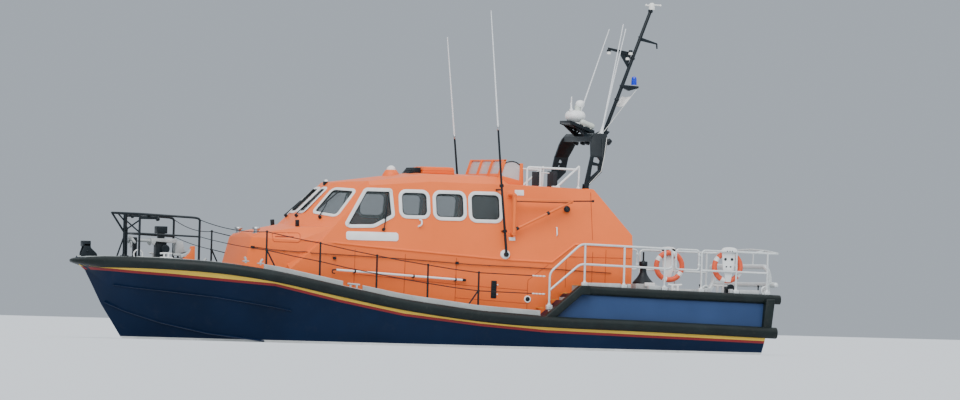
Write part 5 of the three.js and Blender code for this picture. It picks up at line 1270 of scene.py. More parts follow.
pin = bmesh.new()
tube(pin, [(DAVIT_X, DAVIT_Y, DAVIT_FOOT - 0.09), (DAVIT_X, DAVIT_Y, DAVIT_HEAD + 0.07)], 0.025, sides=16)
for z in (DAVIT_FOOT - 0.0225, DAVIT_HEAD + 0.028):
    block(pin, (DAVIT_X - 0.045, wall_half_beam(z) - 0.012, z - 0.022),
          (DAVIT_X + 0.045, DAVIT_Y + 0.035, z + 0.022), edge=0.008)
    at = wall_frame(DAVIT_X, z, 1)
    tablet(pin, at, 0.15, 0.16, 0.012, corner=0.015)
put(pin, "davit_brackets", [orange], node="davit_hinge", sharp=40)
boom = bmesh.new()
lathe(boom, [(0.028, 0), (0.047, 0), (0.047, 0.84), (0.028, 0.84), (0.028, 0)],
      (DAVIT_X, DAVIT_Y, DAVIT_FOOT), steps=24)
block(boom, (DAVIT_TIP, DAVIT_Y - 0.03, 3.352), (DAVIT_X - 0.035, DAVIT_Y + 0.03, 3.412), edge=0.008)
strut = [Vector((DAVIT_X - 0.042, DAVIT_Y, DAVIT_FOOT + 0.09)),
         Vector((DAVIT_TIP + 0.03, DAVIT_Y, DAVIT_HEAD - 0.085))]
tube(boom, strut, 0.030, sides=14)
put(boom, "davit_arm", [orange], body="davit", node="davit_boom", sharp=40)
davit_trim = bmesh.new()
tube(davit_trim, [(DAVIT_TIP + 0.02, DAVIT_Y, DAVIT_HEAD - 0.075), (-3.645, DAVIT_Y, 3.40)], 0.015)
lathe(davit_trim, both_ways([(0, 0.03), (0.028, 0.02)]), (-3.64, DAVIT_Y, 3.40), steps=14)
for t in (0.03, 0.58):
    lathe(davit_trim, both_ways([(0.028, -0.03), (0.042, -0.03)]), strut[0].lerp(strut[1], t),
          strut[1] - strut[0], 16)
block(davit_trim, (DAVIT_TIP + 0.02, DAVIT_Y - 0.024, 3.334), (DAVIT_X - 0.06, DAVIT_Y + 0.024, 3.352),
      edge=0.003)
put(davit_trim, "davit_hook_and_collars", [black], body="davit", sharp=40)
flood = bmesh.new()
hit, normal = on_skin((-3.095, 4, 3.193), (0, -1, 0))
lathe(flood, [(0, 0.085), (0.055, 0.082), (0.076, 0.06), (0.07, 0.03), (0.03, 0.01), (0.03, -0.02),
              (0, -0.02)], hit, normal, 24)
put(flood, "floodlight", [black], sharp=40)
flood_glass = bmesh.new()
lathe(flood_glass, [(0, 0.002), (0.03, 0.0), (0.042, -0.004), (0, -0.006)], hit + normal * 0.086, normal,
      20)
put(flood_glass, "floodlight_lens", [glass], sharp=40)

hook_pole = bmesh.new()
tube(hook_pole, [(HOOK_FORE[0], HOOK_Y, HOOK_FORE[1]), (-0.59, HOOK_Y, 1.525)], 0.024, sides=14)
put(hook_pole, "boat_hook_pole", [white], node="boat_hook", sharp=50)
hook_ends = bmesh.new()
lathe(hook_ends, [(0.024, 0.0), (0.030, 0.0), (0.030, 0.07), (0.02, 0.085), (0, 0.085)],
      (-0.56, HOOK_Y, 1.5265), (-1, 0, -0.05), 16)
tube(hook_ends, [(2.43, HOOK_Y, 1.68), (2.55, HOOK_Y, 1.684)], 0.016, end=0.006)
tube(hook_ends, [(x, HOOK_Y, z) for x, z in ((2.45, 1.68), (2.545, 1.665), (2.53, 1.60), (2.47, 1.60))],
     0.013, bend=0.03)
for x in (2.0, 0.6, -0.4):
    z = HOOK_FORE[1] + (x - HOOK_FORE[0]) * HOOK_RISE
    block(hook_ends, (x - 0.02, 1.80, z - 0.045), (x + 0.02, HOOK_Y, z - 0.024), edge=0.005)
    lathe(hook_ends, both_ways([(0.024, -0.018), (0.031, -0.018)]), (x, HOOK_Y, z), (1, 0, 0.05), 16)
put(hook_ends, "boat_hook_clips", [black], node="boat_hook", sharp=50)

# Pulpit
# A welded steel tube cage round the bow, painted black: hooped rails, a thick centre post, crossed
# braces and a lamp box slung under the head rail; each leg stands in a bolted socket.
PULPIT_AFT, PULPIT_MID, PULPIT_TIP = (5.43, 1.02), (6.72, 0.60), (7.206, 0, 2.841)
POST_X, POST_AXIS = 6.885, 6.90


def on_deck(x, y):
    """The point of the deck at a place."""
    return deck_tree.ray_cast(Vector((x, y, 4.0)), Vector((0, 0, -1)))[0]


def socket(work, x, y, radius, spread=0.072):
    """A flanged socket with four bolt heads round the foot of a post."""
    foot = on_deck(x, y)
    lathe(work, [(0, 0.055), (radius + 0.006, 0.055), (radius + 0.014, 0.014), (spread, 0.012),
                 (spread, -0.01), (0, -0.01)], foot, steps=20)
    for k in range(4):
        angle = math.radians(45 + 90 * k)
        bolt = foot + Vector((math.cos(angle), math.sin(angle), 0)) * (spread - 0.016)
        lathe(work, [(0, 0.021), (0.009, 0.021), (0.009, 0.008), (0, 0.008)], bolt, steps=6)


pulpit = bmesh.new()
for beam in (1, -1):
    (ax, ay), (mx, my) = PULPIT_AFT, PULPIT_MID
    ay, my = beam * ay, beam * my
    tube(pulpit, [on_deck(ax, ay), (ax, ay, 2.745), (5.53, beam * 1.0, 2.772), (mx, my, 2.828),
                  PULPIT_TIP], 0.026, bend=0.10, sides=14)
    tube(pulpit, [(ax, ay, 2.344), (mx, my, 2.385)], 0.021, sides=12)
    tube(pulpit, [on_deck(mx, my), (mx, my, 2.828)], 0.026, sides=14)
    for high, low in ((2.70, 2.41), (2.44, 2.69)):
        tube(pulpit, [(POST_AXIS, 0, high), (mx, my, low)], 0.018)
    socket(pulpit, ax, ay, 0.026)
    socket(pulpit, mx, my, 0.026)
tube(pulpit, [on_deck(POST_X, 0), (POST_X, 0, 2.833)], 0.046, sides=18)
tube(pulpit, [on_deck(6.855, 0.065), (6.855, 0.065, 2.50), (POST_X, 0.03, 2.60)], 0.017, bend=0.05)
socket(pulpit, POST_X, 0, 0.046, 0.105)
tube(pulpit, [(POST_AXIS, 0, 2.40), (7.19, 0, 2.82)], 0.024, sides=12)
tube(pulpit, [(POST_AXIS, 0, 2.33), on_deck(7.06, 0)], 0.018)
tube(pulpit, [(POST_AXIS, 0, 2.66), (7.06, 0, 2.83)], 0.018)
tube(pulpit, [(6.72, -0.6, 2.385), (6.72, 0.6, 2.385)], 0.021, sides=12)
for x, y, z, thick in ((6.35, 0.725, 2.809, 0.026), (6.79, 0.514, 2.829, 0.021)):
    tube(pulpit, [(x, -y, z), (x, y, z)], thick, sides=12)
block(pulpit, (6.13, -0.045, 2.715), (6.53, 0.045, 2.79), edge=0.012)
block(pulpit, (6.53, -0.035, 2.755), (6.86, 0.035, 2.80), edge=0.010)
lathe(pulpit, [(0, 0.045), (0.042, 0.040), (0.052, 0.01), (0.045, -0.035), (0, -0.045)], (6.12, 0, 2.73),
      (1, 0, -0.2), 18)
lathe(pulpit, [(0, 0.035), (0.030, 0.032), (0.038, 0.01), (0.032, -0.03), (0, -0.035)], (6.72, 0, 2.765),
      (1, 0, -0.2), 16)
put(pulpit, "pulpit_frame", [black], node="pulpit", sharp=45)

# Windlass, anchor and foredeck fittings
# A black steel bitt with a grey windlass head and gypsies through it, the anchor's grey shank
# and stock lashed forward of it, two white cleats, a ring, and an orange cowl on the foredeck.
windlass = bmesh.new()
block(windlass, (5.925, -0.125, on_deck(6.04, 0).z - 0.01), (6.165, 0.125, 2.226), edge=0.014)
block(windlass, (5.915, -0.125, 2.40), (6.158, 0.125, 2.565), edge=0.014)
block(windlass, (5.96, -0.06, 2.20), (6.11, 0.06, 2.42), edge=0.01)
lathe(windlass, both_ways([(0, 0.235), (0.085, 0.235), (0.098, 0.22), (0.098, 0.195), (0.06, 0.17)]),
      (5.98, 0, 2.05), (0, 1, 0), 24)
block(windlass, (5.40, -0.125, on_deck(6.0, 0).z - 0.03), (6.79, 0.125, 1.865), edge=0.01)
block(windlass, (6.605, -0.055, 1.84), (6.695, 0.055, 2.30), edge=0.01)
for x in (5.48, 5.62):
    tube(windlass, [(x, 0, 1.85), (x, 0, 1.975)], 0.024)
tube(windlass, [(5.41, 0, 1.98), (5.69, 0, 1.98)], 0.022, sides=12)
put(windlass, "windlass_frame", [black], node="anchor_gear", sharp=40)
anchor = bmesh.new()
cheek = [(6.315, 2.285), (5.72, 2.292), (5.70, 2.215), (5.78, 2.19), (6.20, 2.215), (6.24, 2.12),
         (6.30, 2.16)]
for y0, y1 in ((0.13, 0.19), (-0.19, -0.13)):
    slab(anchor, cheek, y0, y1)
slab(anchor, [(5.721, 2.238), (5.55, 2.243), (5.478, 1.99), (5.713, 1.94)], -0.10, 0.10)
tube(anchor, [(6.785, 0, 2.305), (6.738, 0, 2.24), (6.30, 0, 2.225), (6.0, 0, 2.20)], 0.036, bend=0.06,
     sides=14)
tube(anchor, [(6.72, -0.26, 2.18), (6.755, 0, 2.315), (6.72, 0.26, 2.18)], 0.030, bend=0.08, sides=12)
tube(anchor, [(6.735, 0.03, 2.20), (6.74, 0.06, 2.12), (6.735, 0, 2.06), (6.74, -0.06, 2.12),
              (6.735, -0.03, 2.20)], 0.012, bend=0.03)
soften(anchor, 0.008, over=50)
put(anchor, "anchor_and_lever", [grey_casting], sharp=40)
white_gear = bmesh.new()
for beam in (1, -1):
    y, deck = beam * 0.45, on_deck(6.03, beam * 0.6).z
    block(white_gear, (5.885, y - 0.05, deck - 0.01), (6.17, y + 0.05, deck + 0.05), edge=0.012)
    tube(white_gear, [(x, y, deck + dz) for x, dz in ((5.895, 0.125), (6.03, 0.135), (6.175, 0.125))],
         0.020, sides=12)
    for x in (5.98, 6.08):
        block(white_gear, (x - 0.02, y - 0.02, deck + 0.03), (x + 0.02, y + 0.02, deck + 0.13), edge=0.006)
tube(white_gear, hoop_of((6.62, 0.2, 1.91), 0.105, 20), 0.017, sides=10, closed=True)
put(white_gear, "foredeck_cleats_and_ring", [white], sharp=45)
cowl = bmesh.new()
slab(cowl, [(5.718, on_deck(5.7, 0.5).z - 0.01), (5.387, on_deck(5.4, 0.5).z - 0.01), (5.392, 2.134),
            (5.466, 2.13), (5.52, 1.98)], 0.44, 0.58)
soften(cowl, 0.012, over=40)
put(cowl, "foredeck_cowl", [orange], sharp=40)
cowl_lid = bmesh.new()
slab(cowl_lid, [(5.475, 2.09), (5.53, 2.00), (5.70, 1.93), (5.72, 1.86), (5.56, 1.90), (5.45, 2.02)], 0.45,
     0.57)
block(cowl_lid, (5.70, 0.48, 1.90), (5.885, 0.53, 1.955), edge=0.012)
soften(cowl_lid, 0.008, over=40)
put(cowl_lid, "foredeck_cowl_lid", [grey_casting], sharp=40)

# Stem head fairlead
# A welded steel block on the stem, painted black: flared cheeks with a roller between them and
# a square head for the tow line to bear on.
fairlead = bmesh.new()
for y0, y1 in ((-0.11, -0.07), (0.07, 0.11)):
    slab(fairlead, [(7.925, 1.76), (7.915, 1.92), (7.875, 2.03), (7.87, 2.12), (7.725, 2.12), (7.705, 2.03),
                    (7.57, 1.91), (7.53, 1.79)], y0, y1)
block(fairlead, (7.71, -0.11, 2.06), (7.90, 0.11, 2.19), edge=0.016)
block(fairlead, (7.56, -0.08, 1.77), (7.92, 0.08, 1.86), edge=0.01)
lathe(fairlead, both_ways([(0, 0.075), (0.052, 0.075), (0.036, 0.03)]), (7.79, 0, 1.955), (0, 1, 0), 20)
lathe(fairlead, both_ways([(0, 0.128), (0.02, 0.128), (0.024, 0.118)]), (7.79, 0, 1.955), (0, 1, 0), 14)
soften(fairlead, 0.006, over=50)
put(fairlead, "stem_fairlead", [black], node="bow_fairlead", sharp=40)

# Trunk ventilators
# Polished steel mushroom ventilators on the fore end of the trunk, spun from sheet and screwed
# down over a short collar.
VENT_X, VENT_Y = 3.99, 0.69

for side, beam in SIDES:
    cap = bmesh.new()
    lathe(cap, [(0, 0.140), (0.035, 0.138), (0.065, 0.130), (0.085, 0.115), (0.094, 0.095), (0.094, 0.078),
                (0.088, 0.070), (0.062, 0.068), (0.060, -0.10), (0, -0.10)], (VENT_X, beam * VENT_Y, 2.48),
                steps=32)
    hit, normal = on_skin((VENT_X, beam * VENT_Y, 4.0), (0, 0, -1))
    lathe(cap, [(0.058, 0.010), (0.088, 0.008), (0.090, -0.01)], hit, normal, 28)
    put(cap, f"vent_cap_{side}", [steel], node=f"vent_{side}", sharp=40)

# Guard rails
# Black steel stanchions in round sockets along each side deck, with two covered wires rove
# through them to the quarter rail; stays prop the end posts and wires run on to the pulpit.
GUARD_POSTS = [4.18, 2.95, 1.62, 0.41, -0.80]
GUARD_LIFTS = (0.88, 0.468)
LASHING_START = 0.80  # share of the last span that is wire


def guard_point(beam, x, lift):
    """A point on a stanchion at a height above the deck edge."""
    return Vector((x, beam * (edge_at(DECK_EDGE, x, 1) - 0.19), edge_at(DECK_EDGE, x, 2) + lift))


def wire_end(beam, lift):
    """Where a guard wire is lashed to the quarter rail."""
    return Vector((-2.44, beam * 2.23, 0.795 + 0.98 * lift))


def drooped(start, end, sag, count):
    """A wire's points from one end to the other, with a slight droop."""
    return [start.lerp(end, k / count) - Vector((0, 0, sag * (k / count) * (1 - k / count)))
            for k in range(count + 1)]


for side, beam in SIDES:
    posts = bmesh.new()
    for x in GUARD_POSTS:
        foot, head = guard_point(beam, x, 0), guard_point(beam, x, 0.885)
        tube(posts, [guard_point(beam, x, -0.02), head], 0.024, sides=14, end=0.020)
        lathe(posts, [(0, 0.028), (0.018, 0.024), (0.027, 0.008), (0.027, -0.008), (0.02, -0.02),
                      (0, -0.022)], head, steps=16)
        lathe(posts, [(0.024, 0.075), (0.036, 0.068), (0.046, 0.04), (0.05, 0.014), (0.060, 0.010),
                      (0.060, -0.02), (0, -0.02)], foot, steps=20)
        lathe(posts, both_ways([(0.022, 0.02), (0.030, 0.012)]), guard_point(beam, x, GUARD_LIFTS[1]),
              steps=14)
    for x, low in ((4.18, 3.90), (-0.80, -0.48)):
        tube(posts, [guard_point(beam, x, 0.48), guard_point(beam, low, -0.02)], 0.018, sides=12)
        lathe(posts, [(0, 0.03), (0.03, 0.03), (0.045, 0.008), (0.045, -0.02), (0, -0.02)],
              guard_point(beam, low, 0), steps=16)
    for lift in GUARD_LIFTS:
        run = [guard_point(beam, x, lift) for x in GUARD_POSTS]
        near = run[-1].lerp(wire_end(beam, lift), LASHING_START)
        line = []
        for a, b in zip(run, run[1:]):
            line += [a, a.lerp(b, 0.5) - Vector((0, 0, 0.008))]
        tube(posts, line + [run[-1], near], 0.0105, sides=8)
    put(posts, f"guard_rail_wires_{side}", [black], node=f"guard_rail_{side}", sharp=50)
    lashing = bmesh.new()
    for lift in GUARD_LIFTS:
        start, end = guard_point(beam, GUARD_POSTS[-1], lift), wire_end(beam, lift)
        near = start.lerp(end, LASHING_START)
        for k in range(4):
            a, b = near.lerp(end, k / 4), near.lerp(end, (k + 1) / 4)
            lathe(lashing, [(0, 0), (0.014, 0.006), (0.018, 0.03), (0.014, (b - a).length - 0.01),
                            (0, (b - a).length)], a, b - a, 12)
    put(lashing, f"guard_wire_lashings_{side}", [rope_white], sharp=60)
    bow_wires = bmesh.new()
    # Height on the pulpit's after leg, height on the first stanchion, droop, points, radius
    for x, high, lift, sag, count, thick in ((5.41, 2.72, GUARD_LIFTS[0], 0.34, 10, 0.009),
                                             (5.42, 2.344, GUARD_LIFTS[1], 0.12, 8, 0.008)):
        start = Vector((x, beam * PULPIT_AFT[1], high))
        tube(bow_wires, drooped(start, guard_point(beam, GUARD_POSTS[0], lift), sag, count), thick, sides=8)
    put(bow_wires, f"pulpit_wires_{side}", [black], sharp=60)

# Quarter and stern rails
# Grey-painted alloy tube bent and welded into rails round the raised after deck, standing in
# cast blocks on its edge; the stern rail is one run of tube, crowned across the stern.
RAIL_TOP, RAIL_MID, RAIL_FOOT, RAIL_BORE = 0.94, 0.485, 0.06, 0.025
STEP_POST = (-2.54, 2.23)
STERN_POSTS = (-6.19, -7.04, -7.80)

alloy = finish("rail_alloy", (0.62, 0.65, 0.65), 0.42, metal=0.25, mottle=0.06, patch=6.0, shine=0.4,
               grime=0.06)


def aft_point(beam, x, lift):
    """A point of the after rail at a height above the raised deck's edge."""
    run = min(x, -3.23)
    return Vector((x, beam * (edge_at(QUARTER_EDGE, run, 1) - 0.09), edge_at(QUARTER_EDGE, run, 2) + lift))


def foot_block(work, point):
    """A cast block at the foot of a rail post, with a collar round the tube."""
    block(work, point - Vector((0.07, 0.05, 0.04)), point + Vector((0.07, 0.05, 0.07)), edge=0.014)
    lathe(work, [(0.024, 0.115), (0.032, 0.11), (0.036, 0.085), (0.05, 0.068), (0, 0.06)], point, steps=16)


def stile(work, beam, x):
    """An upright of the rail with a weld bead where it meets each rail."""
    tube(work, [aft_point(beam, x, RAIL_FOOT), aft_point(beam, x, RAIL_TOP)], RAIL_BORE * 0.96, sides=14)
    lathe(work, [(0.024, -0.012), (0.029, 0.0), (0.024, 0.012)], aft_point(beam, x, RAIL_MID - 0.03),
          steps=14)


for side, beam in SIDES:
    rail = bmesh.new()
    x, y = STEP_POST[0], beam * STEP_POST[1]
    hoop = [aft_point(beam, *spot)
            for spot in ((-3.26, RAIL_TOP), (-5.47, RAIL_TOP), (-5.47, RAIL_MID), (-3.25, RAIL_MID))]
    tube(rail, [on_deck(x, y), (x, y, 1.747), *hoop, (x, y, 1.341)], RAIL_BORE, bend=0.11, sides=14)
    foot_block(rail, Vector((x, y, 0.945)))
    for x in (-3.36, -4.31, -5.29):
        stile(rail, beam, x)
        foot_block(rail, aft_point(beam, x, 0))
    put(rail, f"quarter_rail_{side}", [alloy], node=f"aft_rail_{side}", sharp=45)

stern = bmesh.new()
half = {}
for beam in (1, -1):
    fore, aft = STERN_POSTS[0], STERN_POSTS[-1]
    _, y, z = aft_point(beam, aft, RAIL_TOP)
    half[beam] = [aft_point(beam, fore, RAIL_FOOT), aft_point(beam, fore, RAIL_TOP), (aft, y, z),
                  (-7.99, y - beam * 0.009, z), (-8.09, y - beam * 0.11, z), (-8.11, beam * 1.0, z + 0.065)]
    tube(stern, [aft_point(beam, fore, RAIL_MID), aft_point(beam, aft, RAIL_MID)], RAIL_BORE, sides=14)
    for x in STERN_POSTS[1:]:
        stile(stern, beam, x)
    for x in STERN_POSTS:
        foot_block(stern, aft_point(beam, x, 0))
crown = (-8.11, 0, z + 0.09)
tube(stern, half[1] + [crown] + half[-1][::-1], RAIL_BORE, bend=0.10, sides=14)
put(stern, "stern_rail_tubes", [alloy], node="stern_rail", sharp=45)

# Rail gates
# A short section of rail on each side, hung on two eyes from the stern rail's first post and held
# by a turnbutton at its free end.
for side, beam in SIDES:
    gate = bmesh.new()
    corners = [(-6.12, RAIL_MID), (-5.56, RAIL_MID), (-5.56, RAIL_TOP), (-6.12, RAIL_TOP)]
    tube(gate, [aft_point(beam, x, lift) for x, lift in corners], 0.022, bend=0.07, sides=14, closed=True)
    for lift in (0.595, 0.83):
        p = aft_point(beam, -6.19, lift)
        block(gate, (-6.162, p.y - 0.013, p.z - 0.024), (-6.118, p.y + 0.013, p.z + 0.024), edge=0.005)
        lathe(gate, both_ways([(0.022, -0.035), (0.027, -0.03)]), aft_point(beam, -6.12, lift), steps=14)
    p = aft_point(beam, -5.56, 0.70)
    block(gate, (-5.572, p.y - 0.028, p.z - 0.02), (-5.53, p.y + 0.028, p.z + 0.02), edge=0.006)
    put(gate, f"gate_frame_{side}", [alloy], body=f"gate_{side}",
        node=f"rail_gate_{side}", sharp=45)

# Stern hoop
# Two heavy alloy tubes across the stern, painted grey: the upper one bent down into legs, the
# lower one welded across the legs and run out past them; stays steady the crowned rail above.
HOOP_BORE, HOOP_Y = 0.058, 1.95
HOOP_LEG = [(-7.77, 1.33), (-7.79, 1.40), (-7.95, 1.71), (-7.84, 2.01)]

hoop = bmesh.new()
legs = [[(x, beam * HOOP_Y, z) for x, z in HOOP_LEG] for beam in (1, -1)]
tube(hoop, legs[0] + legs[1][::-1], HOOP_BORE, bend=0.16, sides=22)
lathe(hoop, both_ways([(0, 2.25), (0.036, 2.244), (0.053, 2.225), (HOOP_BORE, 2.19)]),
      (-7.99, 0, 1.60), (0, 1, 0), 24)
for beam in (1, -1):
    y = beam * HOOP_Y
    foot = on_deck(-7.775, y)
    block(hoop, (-7.85, y - 0.085, foot.z - 0.02), (-7.695, y + 0.085, foot.z + 0.014), edge=0.006)
    lathe(hoop, both_ways([(0.056, -0.05), (0.066, -0.04)]), (-7.99, y, 1.60), (0, 1, 0), 22)
put(hoop, "stern_hoop_tubes", [alloy], node="stern_hoop", sharp=45)
stays = bmesh.new()
for y in (1.0, -1.0):
    tube(stays, [(-7.84, y, 2.03), (-7.85, y, 2.33), (-8.105, y, 2.382)], 0.016, bend=0.05)
put(stays, "stern_rail_stays", [alloy], sharp=45)

# Tow post
# A cast steel post painted black, belled out at its foot on a grey deck pedestal, with a square
# collar at its head and a slim guide rod standing in it.
TOW_POST = (-5.53, 0, 0)

tow = bmesh.new()
lathe(tow, [(0, 1.555), (0.245, 1.555), (0.245, 1.575), (0.225, 1.605), (0.150, 1.69), (0.100, 1.765),
            (0.080, 1.82), (0.074, 1.88), (0.074, 1.955), (0.096, 1.965), (0.098, 1.98), (0.098, 2.06),
            (0.09, 2.07), (0, 2.072)], TOW_POST, steps=36)
lathe(tow, [(0, 2.10), (0.030, 2.09), (0.040, 2.07), (0, 2.06)], TOW_POST, steps=20)
tube(tow, [(-5.53, 0, 2.08), (-5.53, 0, 2.285)], 0.021, sides=14)
put(tow, "tow_post_casting", [black], node="tow_post", sharp=40)
pedestal = bmesh.new()
block(pedestal, (-5.79, -0.26, on_deck(-5.53, 0).z - 0.005), (-5.27, 0.26, 1.556), edge=0.02)
put(pedestal, "tow_post_pedestal", [grey_casting], sharp=40)

# Stern winch and after deck fittings
# A small black capstan winch on a steel box, white horned cleats each side of it, and a ring
# fairlead with a pin by it on each quarter.
winch = bmesh.new()
block(winch, (-7.318, 1.002, on_deck(-7.22, 1.1).z - 0.005), (-7.122, 1.238, 1.495), edge=0.014)
lathe(winch, both_ways([(0, 0.18), (0.070, 0.18), (0.088, 0.17), (0.088, 0.15), (0.055, 0.125)]),
      (-7.22, 1.12, 1.51), (0, 1, 0), 28)
put(winch, "stern_winch_drum", [black], node="stern_winch", sharp=40)
for side, beam in SIDES:
    cleats = bmesh.new()
    y, deck = beam * 1.6, on_deck(-6.85, beam * 1.6).z
    for x in (-6.79, -6.92):
        block(cleats, (x - 0.025, y - 0.03, deck - 0.005), (x + 0.025, y + 0.03, deck + 0.15), edge=0.008)
    tube(cleats, [(x, y, deck + dz) for x, dz in ((-6.685, 0.165), (-6.85, 0.15), (-7.02, 0.165))], 0.026,
         bend=0.08, sides=14)
    block(cleats, (-5.72, beam * 0.30 - 0.02, 1.50), (-5.47, beam * 0.30 + 0.02, 1.585), edge=0.012)
    put(cleats, f"after_deck_cleats_{side}", [white], sharp=45)
    lead = bmesh.new()
    deck = on_deck(-7.78, beam * 2.08).z
    tube(lead, hoop_of((-7.78, beam * 2.08, deck + 0.085), 0.088, 24), 0.024, sides=12, closed=True)
    block(lead, (-7.86, beam * 2.08 - 0.035, deck - 0.01), (-7.70, beam * 2.08 + 0.035, deck + 0.02),
          edge=0.006)
    put(lead, f"quarter_fairlead_{side}", [alloy], sharp=45)
    pin = bmesh.new()
    lathe(pin, [(0, 0.21), (0.020, 0.205), (0.026, 0.185), (0.016, 0.165), (0.016, 0.03), (0.032, 0.02),
                (0.032, -0.01), (0, -0.01)], (-7.62, beam * 2.05, on_deck(-7.62, beam * 2.05).z), steps=16)
    put(pin, f"quarter_pin_{side}", [black], sharp=45)

# Lifebuoys
# Moulded foam rings skinned in red plastic with four bands of white tape, each held on a white
# plastic board that hooks over the rail; two pairs of hand holes are raised rims round discs of painted
# shade.
BUOY, BUOY_RING, BUOY_BORE = (-6.86, 2.06, 1.985), 0.312, 0.060
BOARD_BACK, BOARD_FACE = 2.120, 2.138
# Half outlines of the board and of its hooked head as half width, height
BOARD_HEAD = [(0.186, 2.33), (0.165, 2.395), (0.11, 2.425), (0, 2.437)]
BOARD = [(0.10, 2.400), (0.165, 2.385), (0.195, 2.345), (0.192, 2.32), (0.165, 2.30), (0.126, 1.875),
         (0.098, 1.85), (0.060, 1.64)]
BAND_ANGLES, BAND_HALF = (34, 112, 214, 292), 10.5
# Hand holes: across, height and radius
HAND_HOLES = [(-0.079, 2.16, 0.034), (0.079, 2.16, 0.034), (-0.052, 1.99, 0.020), (0.052, 1.99, 0.020)]

buoy_red = finish("buoy_red", (0.76, 0.10, 0.035), 0.5, mottle=0.05, patch=5.0, shine=0.4, grime=0.06)
# Near-black used as painted shade in the board's hand holes and in the slots in its head.
hole_painted_shade = finish("hole_painted_shade", (0.02, 0.025, 0.028), 0.9)
for side, beam in SIDES:
    x, y, z = BUOY[0], beam * BUOY[1], BUOY[2]
    ring = bmesh.new()
    tube(ring, hoop_of((x, y, z), BUOY_RING, 60), BUOY_BORE, sides=18, closed=True)
    for face in ring.faces:
        middle = face.calc_center_median()
        angle = math.degrees(math.atan2(middle.z - z, middle.x - x)) % 360
        face.material_index = 1 if any(abs(angle - band) < BAND_HALF for band in BAND_ANGLES) else 0
    for dz in (-0.315, 0.315):
        lathe(ring, [(0, 0.05), (0.036, 0.05), (0.04, 0.04), (0.04, 0), (0, 0)],
              (x, y + beam * 0.01, z + dz), (0, beam, 0), 16)
    put(ring, f"lifebuoy_ring_{side}", [buoy_red, white], node=f"lifebuoy_{side}",
        sharp=50)
    board = bmesh.new()
    for half, face_y in ((BOARD, BOARD_FACE), (BOARD_HEAD, 2.214)):
        outline = [(x + dx, h) for dx, h in half] + [(x - dx, h) for dx, h in half[::-1] if dx]
        slab(board, outline, beam * BOARD_BACK, beam * face_y)
    soften(board, 0.005, over=50)
    for dx, h, r in HAND_HOLES:
        lathe(board, [(r, 0.001), (r + 0.003, 0.005), (r + 0.010, 0.001)], (x + dx, beam * BOARD_FACE, h),
              (0, beam, 0), 24)
    put(board, f"lifebuoy_board_{side}", [white], sharp=45)
    # Discs of painted shade stand in for the open hand holes, and thin patches of painted shade for three
    # slots in the board's head.
    hole_shades = bmesh.new()
    for dx, h, r in HAND_HOLES:
        lathe(hole_shades, [(0, 0.0015), (r, 0.0015), (r, -0.001), (0, -0.001)], (x + dx, beam * BOARD_FACE, h),
              (0, beam, 0), 24)
    for dx in (-0.06, 0.0, 0.06):
        block(hole_shades, (x + dx - 0.014, beam * 2.2135, 2.335), (x + dx + 0.014, beam * 2.2155, 2.355), edge=0)
    put(hole_shades, f"lifebuoy_board_hole_shades_{side}", [hole_painted_shade], sharp=45)

# Transom door
# A flat moulded door over the stern garage, in the hull's blue, with a raised panel, hinge
# knuckles along its foot and two flush catches near its head.
def transom_x(z):
    """The transom's outer face at a height."""
    return -7.7 - 0.16 * (z - 0.35)


door = bmesh.new()
corners = ((0.004, 0.262), (0.004, 1.052), (0.05, 1.052), (0.05, 0.262))
slab(door, [(transom_x(z) + inward, z) for inward, z in corners], -0.712, 0.712)
outer_face = [f for f in door.faces if f.normal.x < -0.9]
bmesh.ops.inset_individual(door, faces=outer_face, thickness=0.07, depth=0.0, use_even_offset=True)
bmesh.ops.inset_individual(door, faces=outer_face, thickness=0.006, depth=0.004, use_even_offset=True)
soften(door, 0.004, over=60)
put(door, "transom_door_panel", [navy], body="stern_door", node="transom_door", sharp=30)
catches = bmesh.new()
turn = Matrix.Rotation(math.atan(0.16), 4, "Y")
for y in (-0.5, 0.5):
    block(catches, (-0.007, -0.05, -0.035), (0.004, 0.05, 0.035), edge=0.003,
          turn=Matrix.Translation((transom_x(0.95) + 0.002, y, 0.95)) @ turn)
for y in (-0.55, 0.0, 0.55):
    lathe(catches, both_ways([(0, 0.06), (0.010, 0.06)]), (transom_x(0.275) - 0.002, y, 0.275), (0, 1, 0),
          14)
    block(catches, (-0.004, -0.05, 0.0), (0.003, 0.05, 0.11), edge=0.002,
          turn=Matrix.Translation((transom_x(0.275) + 0.002, y, 0.275)) @ turn)
put(catches, "transom_door_hinges", [steel], body="stern_door", sharp=45)

# Shafts
# A polished steel shaft each side under the after body, in a cutlass bearing held by one
# streamlined strut; it runs forward and up into its tunnel.
SCREW = (-6.42, 1.08, -0.96)
SHAFT_RISE = math.radians(5.0)
SHAFT_WAY = (math.cos(SHAFT_RISE), 0, math.sin(SHAFT_RISE))


def on_shaft(beam, reach):
    """A point of the shaft's axis at a distance forward of the propeller."""
    return Vector((SCREW[0] + reach * math.cos(SHAFT_RISE), beam * SCREW[1],
                   SCREW[2] + reach * math.sin(SHAFT_RISE)))


def foil(chord_fore, chord_aft, thick, count=14):
    """A streamlined section as (fore, across) points, from the leading edge round to it again."""
    near = []
    for k in range(count + 1):
        t = (1 - math.cos(math.pi * k / count)) / 2
        half = thick * (1.4845 * math.sqrt(t) - 0.63 * t - 1.758 * t * t
                        + 1.4215 * t ** 3 - 0.5075 * t ** 4)
        near.append((chord_fore - (chord_fore + chord_aft) * t, max(half, 0.002)))
    return near[1:] + [(u, -v) for u, v in near[:0:-1]] + [(chord_fore, 0.0)]


def loft(work, rings):
    """Skins a run of closed rings of points and caps both ends."""
    loops = []
    for ring in rings:
        dots = [work.verts.new(p) for p in ring]
        loops.append([work.edges.new((a, b)) for a, b in zip(dots, dots[1:] + dots[:1])])
    for first, second in zip(loops, loops[1:]):
        bmesh.ops.bridge_loops(work, edges=first + second)
    for loop in (loops[0], loops[-1]):
        bmesh.ops.contextual_create(work, geom=loop)
    bmesh.ops.recalc_face_normals(work, faces=work.faces)


